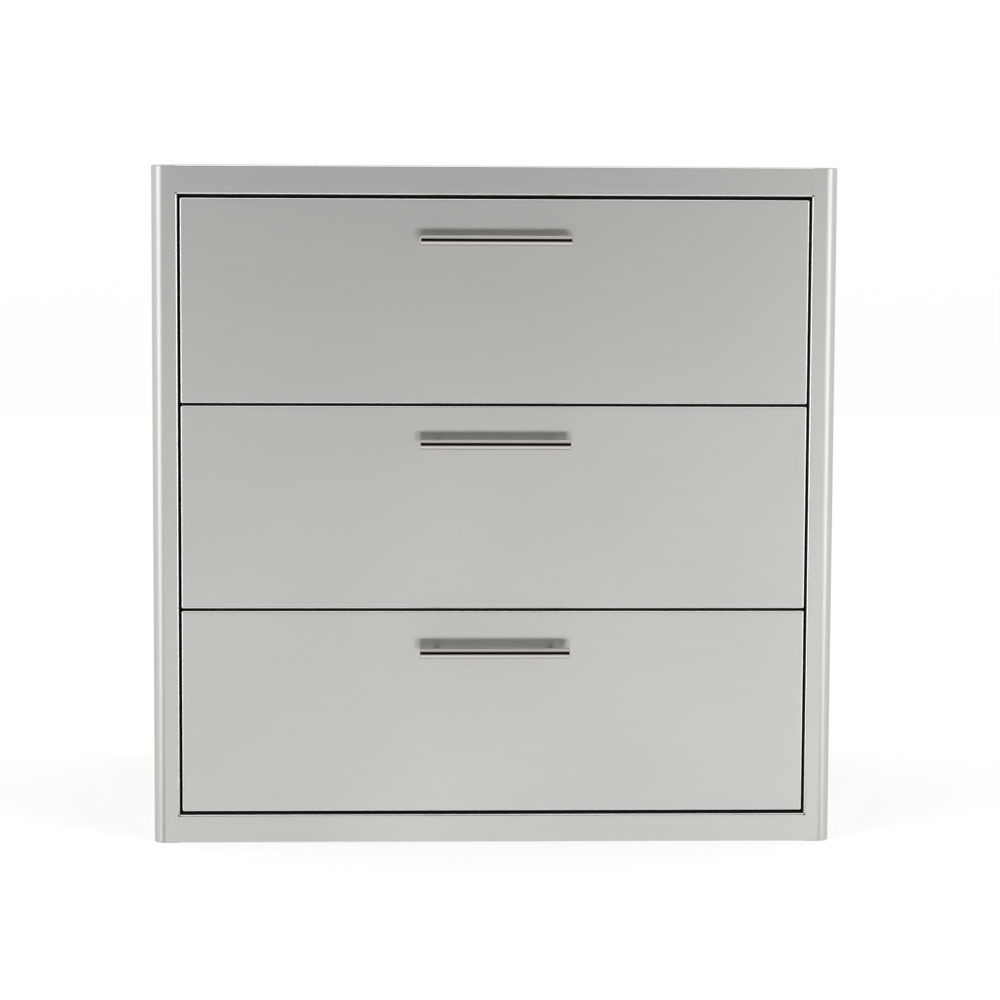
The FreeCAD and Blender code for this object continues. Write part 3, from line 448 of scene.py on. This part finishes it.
# %% Polished steel
def polished_steel(name):
    material = bpy.data.materials.new(name)
    tree = empty_tree(material)
    swirl = grain(tree, "X", length=25, width=0.5, seed=1.3)
    colour = tint(tree, swirl, "#CECBC4", "#D6D3CC")
    roughness = between(tree, swirl, 0.10, 0.16)
    bump = add(tree, "Bump", {"Height": swirl, "Strength": 0.1, "Distance": 0.01 * MM})
    shade(tree, {
        "Base Color": colour,
        "Metallic": 1.0,
        "Roughness": roughness,
        "Normal": bump.outputs[0],
    })
    return material


polished = polished_steel("polished_304")

# %% [markdown]
# Sheet that nobody sees is left as the mill rolls it, a 2B finish: smooth and milky, with faint
# rolling lines. The slides are mild steel with a thin, bluish zinc plating. Balls are hardened
# bearing steel, screws and rivets are bright stainless, and the stops are moulded black rubber.

# %% Mill finish, zinc, fasteners and rubber
def plain_metal(name, dark, light, rough, along="X", length=60, width=1.2, relief=0.1, patch=35):
    material = bpy.data.materials.new(name)
    tree = empty_tree(material)
    lines = grain(tree, along, length, width, seed=5.9)
    patches = cloud(tree, patch, seed=2.3)
    colour = tint(tree, patches, dark, light)
    roughness = between(tree, patches, *rough)
    bump = add(tree, "Bump", {"Height": lines, "Strength": relief, "Distance": 0.02 * MM})
    shade(tree, {
        "Base Color": colour,
        "Metallic": 1.0,
        "Roughness": roughness,
        "Normal": bump.outputs[0],
    })
    return material


def moulded_rubber(name):
    material = bpy.data.materials.new(name)
    tree = empty_tree(material)
    bloom = cloud(tree, size=3, seed=4.4)
    skin = cloud(tree, size=0.4, seed=8.8)
    bump = add(tree, "Bump", {"Height": skin, "Strength": 0.3, "Distance": 0.05 * MM})
    shade(tree, {
        "Base Color": tint(tree, bloom, "#1B1B1C", "#262627"),
        "Roughness": between(tree, bloom, 0.6, 0.75),
        "Normal": bump.outputs[0],
    })
    return material


mill = plain_metal("mill_finish_304", "#C1C0BC", "#C6C5C1", (0.31, 0.36), length=200, patch=90)
zinc = plain_metal("zinc_plated_steel", "#B4B9BF", "#C7CBCF", (0.26, 0.36), along="Y", patch=14)
bearing = plain_metal("bearing_steel", "#B9B9BA", "#C4C4C5", (0.08, 0.14), relief=0.02)
bright = plain_metal("bright_stainless", "#C4C2BE", "#CFCDC8", (0.18, 0.26), patch=6, relief=0.05)
rubber = moulded_rubber("moulded_rubber")
weld = plain_metal(
    "tig_weld_304", "#ADA590", "#BFBDB8", (0.24, 0.36), patch=2.5, relief=0.3, width=0.4
)
print("finishes ready")

# %% [markdown]
# Every piece of the frame now gets the finish of its material slot. A piece whose shape is right
# keeps its mesh, and only what needs more detail than a solid can hold is replaced further on.

# %% Dress the frame's own pieces
FINISHES = {
    "brushed_stainless": brushed,
    "mill_finish_stainless": mill,
    "polished_stainless": polished,
    "slide_steel": zinc,
    "bearing_steel": bearing,
    "fastener_steel": bright,
    "rubber": rubber,
}
slots = {part["node"]: part["material_slot"] for part in frame["record"]["subparts"]}
for node, thing in nodes.items():
    thing.data.materials.clear()
    thing.data.materials.append(FINISHES[slots[node]])
own_finish = {"top_panel": brushed_top, "top_rail": brushed_rail, "bottom_rail": brushed_rail}
for side in ("left", "right"):
    own_finish[f"side_panel_{side}"] = brushed_stile
for drawer in DRAWERS:
    own_finish[f"{drawer}_drawer_front"] = brushed_front
for node, finish in own_finish.items():
    nodes[node].data.materials[0] = finish
print(f"{len(slots)} pieces dressed")

# %% [markdown]
# The pieces that are made here are meshes built from rings of points. These helpers make a ring,
# join rings one after another, cap their ends, and turn the finished mesh into an object with a
# finish, a body to ride on and a material slot.

# %% Helpers that build meshes
def ring(bm, points):
    """Vertices at points that are given in mm."""
    return [bm.verts.new(Vector(point) * MM) for point in points]


def join(bm, first, second):
    """A closed band of faces from one ring to the next."""
    count = len(first)
    for i in range(count):
        j = (i + 1) % count
        bm.faces.new((first[i], first[j], second[j], second[i]))


def join_all(bm, rings):
    """Bands from every ring to the one after it."""
    for first, second in zip(rings, rings[1:]):
        join(bm, first, second)


def cap(bm, rings):
    """A face over the first ring and one over the last."""
    bm.faces.new(rings[0])
    bm.faces.new(rings[-1])


def finished(name, bm, material, body):
    bmesh.ops.recalc_face_normals(bm, faces=bm.faces)
    mesh = bpy.data.meshes.new(name)
    bm.to_mesh(mesh)
    bm.free()
    mesh.materials.append(material)
    piece = new_object(name, mesh)
    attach(piece, body)
    print(f"{name}: {len(mesh.polygons)} faces")
    return piece


# %% [markdown]
# The opening is sealed with black EPDM rubber, and every gap renders black from end to end. One
# strip with an L shaped section goes all the way round the opening: its short leg stands behind the
# gap, and its long leg lines the folded edge, a dark sheet that paints the shade inside the gap. It
# is a section swept round four mitred corners. Between the drawers a flat strip is glued to each
# cross rail.

# %% Rubber seals round the opening and between the drawers, and a lining that paints gap shade
OPENING_HALF = 352  # mm
END_GAP = 4  # mm, between a rail and the front next to it
SEAL_THICKNESS = 1.8  # mm
SEAL_REACH = 4.8  # mm, from the edge of the opening inwards
# The lining is painted shade: a dark sheet along the folded edge, where the gap is in shade.
SHADE_LINING = 0.6  # mm
SHADE_LINING_START = 2.6  # mm behind the face, where the fold of the sheet ends
STRIP_OVERLAP = 1.5  # mm past each side of a gap between two drawers
STRIP_PLAY = 0.2  # mm, at each end of a strip
MOULDED_EDGE = 0.25  # mm, bevel

front_low, front_high = (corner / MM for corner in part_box("bottom_drawer_front"))
pitch = (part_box("middle_drawer_front")[0].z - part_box("bottom_drawer_front")[0].z) / MM
lip_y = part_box("cross_rails")[0].y / MM
opening_low = front_low.z - END_GAP
opening_high = front_high.z + pitch * (len(DRAWERS) - 1) + END_GAP

seal_front = lip_y - SEAL_THICKNESS
# The long leg, from the fold to the seal's front, is a dark sheet that paints the shade in the gap.
seal_and_shade_lining_section = [
    (0, face_y + SHADE_LINING_START),
    (SHADE_LINING - MOULDED_EDGE, face_y + SHADE_LINING_START),
    (SHADE_LINING, face_y + SHADE_LINING_START + MOULDED_EDGE),
    (SHADE_LINING, seal_front),
    (SEAL_REACH - MOULDED_EDGE, seal_front),
    (SEAL_REACH, seal_front + MOULDED_EDGE),
    (SEAL_REACH, lip_y - MOULDED_EDGE),
    (SEAL_REACH - MOULDED_EDGE, lip_y),
    (0, lip_y),
]
seal = bmesh.new()
corners = []
for side, upper in ((-1, False), (1, False), (1, True), (-1, True)):
    points = []
    for inward, y in seal_and_shade_lining_section:
        z = opening_high - inward if upper else opening_low + inward
        points.append((side * (OPENING_HALF - inward), y, z))
    corners.append(ring(seal, points))
join_all(seal, corners + corners[:1])
finished("opening_seal_and_shade_lining", seal, rubber, "cabinet")

levels = {drawer: front_low.z + step * pitch for step, drawer in enumerate(DRAWERS)}

strips = bmesh.new()
strip_half = OPENING_HALF - SEAL_REACH - STRIP_PLAY
for step in range(len(DRAWERS) - 1):
    low = front_high.z + step * pitch - STRIP_OVERLAP
    high = front_low.z + (step + 1) * pitch + STRIP_OVERLAP
    section = [
        (seal_front + MOULDED_EDGE, low), (lip_y, low), (lip_y, high),
        (seal_front + MOULDED_EDGE, high), (seal_front, high - MOULDED_EDGE),
        (seal_front, low + MOULDED_EDGE),
    ]
    ends = [ring(strips, [(x, y, z) for y, z in section]) for x in (-strip_half, strip_half)]
    join_all(strips, ends)
    cap(strips, ends)
finished("gap_strips", strips, rubber, "cabinet")

# %% [markdown]
# Fasteners are small turned parts: a profile of radius against height, swept round an axis. Places
# are given on the right-hand side and mirrored to the left, as the real holes are.

# %% A helper that turns profiles
AXES = {"X": Vector((1, 0, 0)), "Y": Vector((0, 1, 0)), "Z": Vector((0, 0, 1))}


def directions(axis):
    """The direction of a signed axis such as "-X", and two that are square to it."""
    along = AXES[axis[-1]] * (-1 if axis[0] == "-" else 1)
    across = AXES["Z" if axis[-1] != "Z" else "X"]
    return along, across, along.cross(across)


def turned(bm, place, axis, profile, segments=28):
    """Sweep (height along the axis, radius) points in mm round a signed axis."""
    along, across, up = directions(axis)
    rings = []
    for height, radius in profile:
        points = []
        for i in range(segments):
            angle = math.tau * i / segments
            spoke = across * math.cos(angle) + up * math.sin(angle)
            points.append(Vector(place) + along * height + spoke * radius)
        rings.append(ring(bm, points))
    join_all(bm, rings)
    return rings


# %% [markdown]
# A blind rivet's head is a low dome with a hole in the middle, where the mandrel that set it has
# snapped off just below the rim. Its tail is drawn up into a round bulb.

# %% Blind rivets
RIVET_RADIUS = 2  # mm
RIVET_HEAD = 4  # mm, radius
RIVET_DOME = 1.2  # mm
RIVET_BULB = 3.2  # mm, radius
RIVET_HOLE = 1.15  # mm, radius


def blind_rivet(bm, place, axis, grip):
    """A set rivet, placed where its axis meets the inner sheet. Its head points along axis."""
    hole = RIVET_HOLE
    top = grip + RIVET_DOME
    profile = [
        (-1.5, 0.5), (-1.45, 1.6), (-1.1, 2.7), (-0.6, RIVET_BULB), (-0.1, 3.0), (0, RIVET_RADIUS),
        (grip, RIVET_RADIUS), (grip, RIVET_HEAD), (grip + 0.25, RIVET_HEAD - 0.05),
        (grip + 0.6, 3.5), (grip + 0.95, 2.6), (top - 0.05, 1.9), (top, 1.5),
        (top - 0.1, hole + 0.1), (top - 0.3, hole), (grip + 0.3, hole),
        (grip + 0.35, hole - 0.15), (grip + 0.55, 0.4),
    ]
    cap(bm, turned(bm, place, axis, profile))


RIVET_INSET = 11  # mm, from the cabinet's edges
SIDE_RIVETS = 5
RAIL_RIVETS = 3
RAIL_SPREAD = 480  # mm
RAIL_HEIGHT = 32
FRAME_SHEET = 1.5
BACK_SHEET = 1.2

cabinet_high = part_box("side_panel_right")[1] / MM
side_x = cabinet_high.x - RIVET_INSET
inner_face = cabinet_high.y - FRAME_SHEET
low_rivet = RAIL_HEIGHT + RIVET_INSET
rivets = bmesh.new()
for i in range(SIDE_RIVETS):
    z = low_rivet + (cabinet_high.z - 2 * low_rivet) * i / (SIDE_RIVETS - 1)
    for side in (-1, 1):
        blind_rivet(rivets, (side * side_x, inner_face, z), "Y", FRAME_SHEET + BACK_SHEET)
for i in range(RAIL_RIVETS):
    x = RAIL_SPREAD * (i / (RAIL_RIVETS - 1) - 0.5)
    for z in (RIVET_INSET, cabinet_high.z - RIVET_INSET):
        blind_rivet(rivets, (x, inner_face, z), "Y", FRAME_SHEET + BACK_SHEET)
piece = finished("back_rivets", rivets, bright, "cabinet")
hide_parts("back_panel_rivets")

# %% [markdown]
# The screws have pan heads with a cross recess. The head is turned up to a flat ring, and the
# flat is filled between that ring and the outline of the cross, whose walls then slope inwards to
# a smaller cross at the bottom.

# %% Pan head screws with a cross recess
THREAD_PITCH = 0.8  # mm, about
HEAD_SEGMENTS = 24


def cross_outline(arm, half, centre, across, up):
    """The twelve corners of a cross, in mm: arm is its reach and half is half an arm's width."""
    plan = [
        (arm, -half), (arm, half), (half, half), (half, arm), (-half, arm), (-half, half),
        (-arm, half), (-arm, -half), (-half, -half), (-half, -arm), (half, -arm), (half, -half),
    ]
    return [centre + across * a + up * b for a, b in plan]


def edges_round(bm, points):
    """The edges from every vertex of a ring to the next."""
    return [bm.edges.get(pair) for pair in zip(points, points[1:] + points[:1])]


def pan_screw(bm, place, axis, head, height, shank, length):
    """A screw whose head bears at the place and points along axis. Lengths in mm."""
    flat = head * 0.72
    profile = [(-length, shank * 0.55), (-length + 0.6, shank * 0.85)]
    steps = max(2, int((length - 1) / THREAD_PITCH))
    for i in range(steps):
        start = -length + 0.6 + (length - 1.2) * i / steps
        profile += [(start + 0.2, shank), (start + 0.6, shank * 0.86)]
    profile += [
        (0, shank * 0.9), (0, head - 0.05), (0.08, head), (height * 0.4, head),
        (height * 0.72, head * 0.95), (height * 0.93, head * 0.84), (height, flat),
    ]
    rings = turned(bm, place, axis, profile, HEAD_SEGMENTS)
    bm.faces.new(rings[0])
    along, across, up = directions(axis)
    top = Vector(place) + along * height
    bottom = Vector(place) + along * (height * 0.3)
    mouth = ring(bm, cross_outline(head * 0.5, head * 0.13, top, across, up))
    foot = ring(bm, cross_outline(head * 0.24, head * 0.08, bottom, across, up))
    join(bm, mouth, foot)
    bm.faces.new(foot)
    edges = edges_round(bm, mouth) + edges_round(bm, rings[-1])
    bmesh.ops.triangle_fill(bm, use_beauty=True, use_dissolve=False, edges=edges)


SLIDE_FACE = 349  # mm, where the outer members are screwed on
SLIDE_SHEET = 1.2
SLIDE_LEVEL = 78  # mm above a front's lower edge
UPRIGHTS = (85, 525)  # mm behind the face
# Screws: the radius and height of the head, the radius of the shank and its length, in mm.
SLIDE_SCREW = (3.75, 1.3, 2, 8)
HANDLE_SCREW = (3.75, 2.4, 2, 34.5)
TRAY_SCREW = (4.5, 2.4, 2.5, 10)

slide_screws = bmesh.new()
for level in levels.values():
    z = level + SLIDE_LEVEL
    for along_slide in UPRIGHTS:
        for side, axis in ((-1, "X"), (1, "-X")):
            place = (side * (SLIDE_FACE - SLIDE_SHEET), face_y + along_slide, z)
            pan_screw(slide_screws, place, axis, *SLIDE_SCREW)
screws = finished("slide_screws", slide_screws, bright, "cabinet")
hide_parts("slide_mount_screws")

TRAY_HALF = 336.3  # mm
TRAY_SHEET = 1.0
FRONT_DEPTH = 20
SLIDE_START = 24  # mm behind the face
SLIDE_RIVETS = (50, 275, 500)  # mm along a slide
TRAY_SCREWS = ((250, 50), (250, 150))  # mm across, and above the front's lower edge
POST_PLACE = 64  # mm across
HANDLE_DROPS = {"bottom": 43, "middle": 40, "top": 45}  # mm below the front's upper edge
FRONT_HEIGHT = 227

for drawer, level in levels.items():
    fasteners = bmesh.new()
    bar_z = level + FRONT_HEIGHT - HANDLE_DROPS[drawer]
    for side in (-1, 1):
        place = (side * POST_PLACE, face_y + FRONT_DEPTH, bar_z)
        pan_screw(fasteners, place, "Y", *HANDLE_SCREW)
        for x, z in TRAY_SCREWS:
            place = (side * x, face_y + FRONT_DEPTH + TRAY_SHEET, level + z)
            pan_screw(fasteners, place, "Y", *TRAY_SCREW)
        for along_slide in SLIDE_RIVETS:
            place = (side * (TRAY_HALF - TRAY_SHEET), face_y + SLIDE_START + along_slide,
                     level + SLIDE_LEVEL)
            axis = "X" if side > 0 else "-X"
            blind_rivet(fasteners, place, axis, TRAY_SHEET + SLIDE_SHEET)
    piece = finished(f"{drawer}_fasteners", fasteners, bright, f"{drawer}_drawer")
    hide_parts(f"{drawer}_drawer_fasteners")

# %% [markdown]
# The end walls of a tray are TIG welded into its corners, and stitched to its floor. A weld bead is
# a row of small overlapping puddles, so it is drawn as a quarter-round fillet whose size swells
# once for every puddle, 1.7 mm apart. The heat leaves it straw coloured.

# %% Weld beads in the trays
BEAD = 1.7  # mm
PUDDLE = 1.7  # mm from one puddle to the next
SWELL = 0.16  # of the bead, in the middle of a puddle
STITCH = 22  # mm long
STITCH_PITCH = 95  # mm
STITCHES_EACH_SIDE = 3  # of the middle one
TRAY_RISE = 16  # mm above a front's lower edge
TRAY_HEIGHT = 160
TRAY_DEPTH = 548
BEAD_START = 2.5  # mm above a tray's floor
BEAD_SHORT = 7  # mm, of the tray's height


def weld_bead(bm, start, along, length, first_wall, second_wall):
    """A fillet from start, in mm. The two walls' directions point away from the corner."""
    start, along = Vector(start), Vector(along)
    out, up = Vector(first_wall), Vector(second_wall)
    steps = max(4, round(length / PUDDLE * 4))
    rings = []
    for i in range(steps + 1):
        travel = length * i / steps
        swell = 1 + SWELL * abs(math.sin(math.pi * travel / PUDDLE))
        taper = min(1, 0.35 + min(travel, length - travel) / 2)
        size = BEAD * swell * taper
        sides = [(0, 0), (1, 0), (0.86, 0.36), (0.66, 0.66), (0.36, 0.86), (0, 1)]
        centre = start + along * travel
        rings.append(ring(bm, [centre + (out * a + up * b) * size for a, b in sides]))
    join_all(bm, rings)
    cap(bm, rings)


tray_front = face_y + FRONT_DEPTH + TRAY_SHEET
tray_rear = face_y + FRONT_DEPTH + TRAY_DEPTH - TRAY_SHEET
wall_x = TRAY_HALF - TRAY_SHEET
for drawer, level in levels.items():
    floor_z = level + TRAY_RISE + TRAY_SHEET
    beads = bmesh.new()
    for y, inward in ((tray_front, 1), (tray_rear, -1)):
        for side in (-1, 1):
            place = (side * wall_x, y, floor_z + BEAD_START)
            length = TRAY_HEIGHT - BEAD_SHORT
            weld_bead(beads, place, (0, 0, 1), length, (-side, 0, 0), (0, inward, 0))
        for i in range(-STITCHES_EACH_SIDE, STITCHES_EACH_SIDE + 1):
            place = (STITCH_PITCH * i - STITCH / 2, y, floor_z)
            weld_bead(beads, place, (1, 0, 0), STITCH, (0, inward, 0), (0, 0, 1))
    finished(f"{drawer}_tray_welds", beads, weld, f"{drawer}_drawer")

# %% [markdown]
# Hands reach into a tray all day, so its rim is hemmed: the sheet is rolled over and folded back
# under itself, and no cut edge is left. The fold is one section, swept round four mitred corners.

# %% Rolled hems on the tray rims
HEM = 9  # mm
HEM_LEAF = 5.5  # mm folded back under the rim
HEM_TIP = 0.3  # mm, the round of the leaf's edge
ROLL_STEPS = 6


def hem_section():
    """(inward, down) points in mm: the roll, then the leaf that lies under the rim."""
    roll = []
    for i in range(ROLL_STEPS + 1):
        angle = math.pi * i / ROLL_STEPS
        roll.append((HEM + TRAY_SHEET * math.sin(angle), TRAY_SHEET * (1 - math.cos(angle))))
    inner = HEM - HEM_LEAF
    tip = (inner - HEM_TIP, TRAY_SHEET * 1.5)
    return roll + [(inner, TRAY_SHEET * 2), tip, (inner, TRAY_SHEET)]


for drawer, level in levels.items():
    rim_z = level + TRAY_RISE + TRAY_HEIGHT
    hem = bmesh.new()
    corners = []
    for side, rear in ((-1, False), (1, False), (1, True), (-1, True)):
        points = []
        for inward, down in hem_section():
            front_y = face_y + FRONT_DEPTH + inward
            rear_y = face_y + FRONT_DEPTH + TRAY_DEPTH - inward
            points.append((side * (TRAY_HALF - inward), rear_y if rear else front_y, rim_z - down))
        corners.append(ring(hem, points))
    join_all(hem, corners + corners[:1])
    piece = finished(f"{drawer}_tray_hem", hem, mill, f"{drawer}_drawer")
    for face in piece.data.polygons:
        face.use_smooth = True

# %% [markdown]
# A ball slide is full of small pressed features. Round dimples locate the members while they are
# riveted, oval ones stop the ball cages at both ends, and a rubber buffer at the back of each outer
# member takes the blow when a drawer is pushed shut.

# %% Pressed features and buffers of the slides
SLIDE_LENGTH = 550  # mm
MIDDLE_WEB = 344.8  # mm, inner face of the middle member's web
INNER_WEB = 336.3  # mm, tray side of the inner member's web
PRESSING = 0.45  # mm high
MIDDLE_MARKS = (14, 95, 190, 360, 455, 536)  # mm along the member, the first and last oval
INNER_MARKS = (20, 130, 210, 340, 420, 530)
OVAL_MARK = (14, 5)  # mm long and wide
ROUND_MARK = (5, 5)
INNER_MARK = (9, 4)
MARK_CORNERS = 20


def pressed_dimple(bm, place, axis, length, width):
    """A low oval boss, in mm: length along the slide and width up it."""
    rows = ((0, 1.0), (0.25, 0.97), (0.7, 0.84), (1.0, 0.6))
    direction = -1 if axis == "-X" else 1
    rings = []
    for height, share in rows:
        points = []
        for i in range(MARK_CORNERS):
            angle = math.tau * i / MARK_CORNERS
            reach = (length - width) / 2 * (1 if math.cos(angle) > 0 else -1)
            y = place[1] + reach + width / 2 * share * math.cos(angle)
            z = place[2] + width / 2 * share * math.sin(angle)
            points.append((place[0] + direction * height * PRESSING, y, z))
        rings.append(ring(bm, points))
    join_all(bm, rings)
    cap(bm, rings)


def buffer_block(bm, side, z):
    """A soft block in the rear end of an outer member, in mm, with rounded ends."""
    x = side * (SLIDE_FACE - SLIDE_SHEET)
    y = face_y + SLIDE_START + SLIDE_LENGTH
    plan = [(0, -2.5), (0, -9), (-1.2, -10), (-1.6, -9), (-1.6, -2.5), (-1.2, -1.5)]
    rings = []
    for up, share in ((-15, 0.5), (-14, 0.9), (-12, 1), (12, 1), (14, 0.9), (15, 0.5)):
        rings.append(ring(bm, [(x + side * a * share, y + b, z + up) for a, b in plan]))
    join_all(bm, rings)
    cap(bm, rings)


buffers = bmesh.new()
for drawer, level in levels.items():
    z = level + SLIDE_LEVEL
    start = face_y + SLIDE_START
    middle_marks, inner_marks = bmesh.new(), bmesh.new()
    for side, inwards in ((-1, "X"), (1, "-X")):
        for along_slide in MIDDLE_MARKS:
            place = (side * MIDDLE_WEB, start + along_slide, z)
            at_end = along_slide in (MIDDLE_MARKS[0], MIDDLE_MARKS[-1])
            mark = OVAL_MARK if at_end else ROUND_MARK
            pressed_dimple(middle_marks, place, inwards, *mark)
        for along_slide in INNER_MARKS:
            outwards = "X" if side > 0 else "-X"
            place = (side * (INNER_WEB + SLIDE_SHEET), start + along_slide, z)
            pressed_dimple(inner_marks, place, outwards, *INNER_MARK)
        buffer_block(buffers, side, z)
    for part, marks, body in (("middle", middle_marks, "middle_members"),
                              ("inner", inner_marks, "drawer")):
        finished(f"{drawer}_{part}_pressings", marks, zinc, f"{drawer}_{body}")
finished("slide_buffers", buffers, rubber, "cabinet")

# %% [markdown]
# Light linking keeps lamps to the sheet that they are there for. The low lights and the overhead
# softbox fall on brushed sheet alone, and only the part itself shades the low lights, because the
# floor that they stand for is no obstacle. The flat top is spared the overhead and side softboxes,
# which would burn a white patch into it.

# %% What each lamp falls on
lit_by_low = bpy.data.collections.new("lit_by_low_light")
shades_low = bpy.data.collections.new("shades_low_light")
lit_from_above = bpy.data.collections.new("lit_from_above")
for node, thing in nodes.items():
    shades_low.objects.link(thing)
    if slots[node] == "brushed_stainless":
        lit_by_low.objects.link(thing)
        if node != "top_panel":
            lit_from_above.objects.link(thing)
for lamp in low_lights:
    lamp.light_linking.receiver_collection = lit_by_low
    lamp.light_linking.blocker_collection = shades_low
overhead.light_linking.receiver_collection = lit_from_above
spared = bpy.data.collections.new("spared_by_side_lights")
spared.objects.link(nodes["top_panel"])
spared.collection_objects[0].light_linking.link_state = "EXCLUDE"
for lamp in side_lights:
    lamp.light_linking.receiver_collection = spared
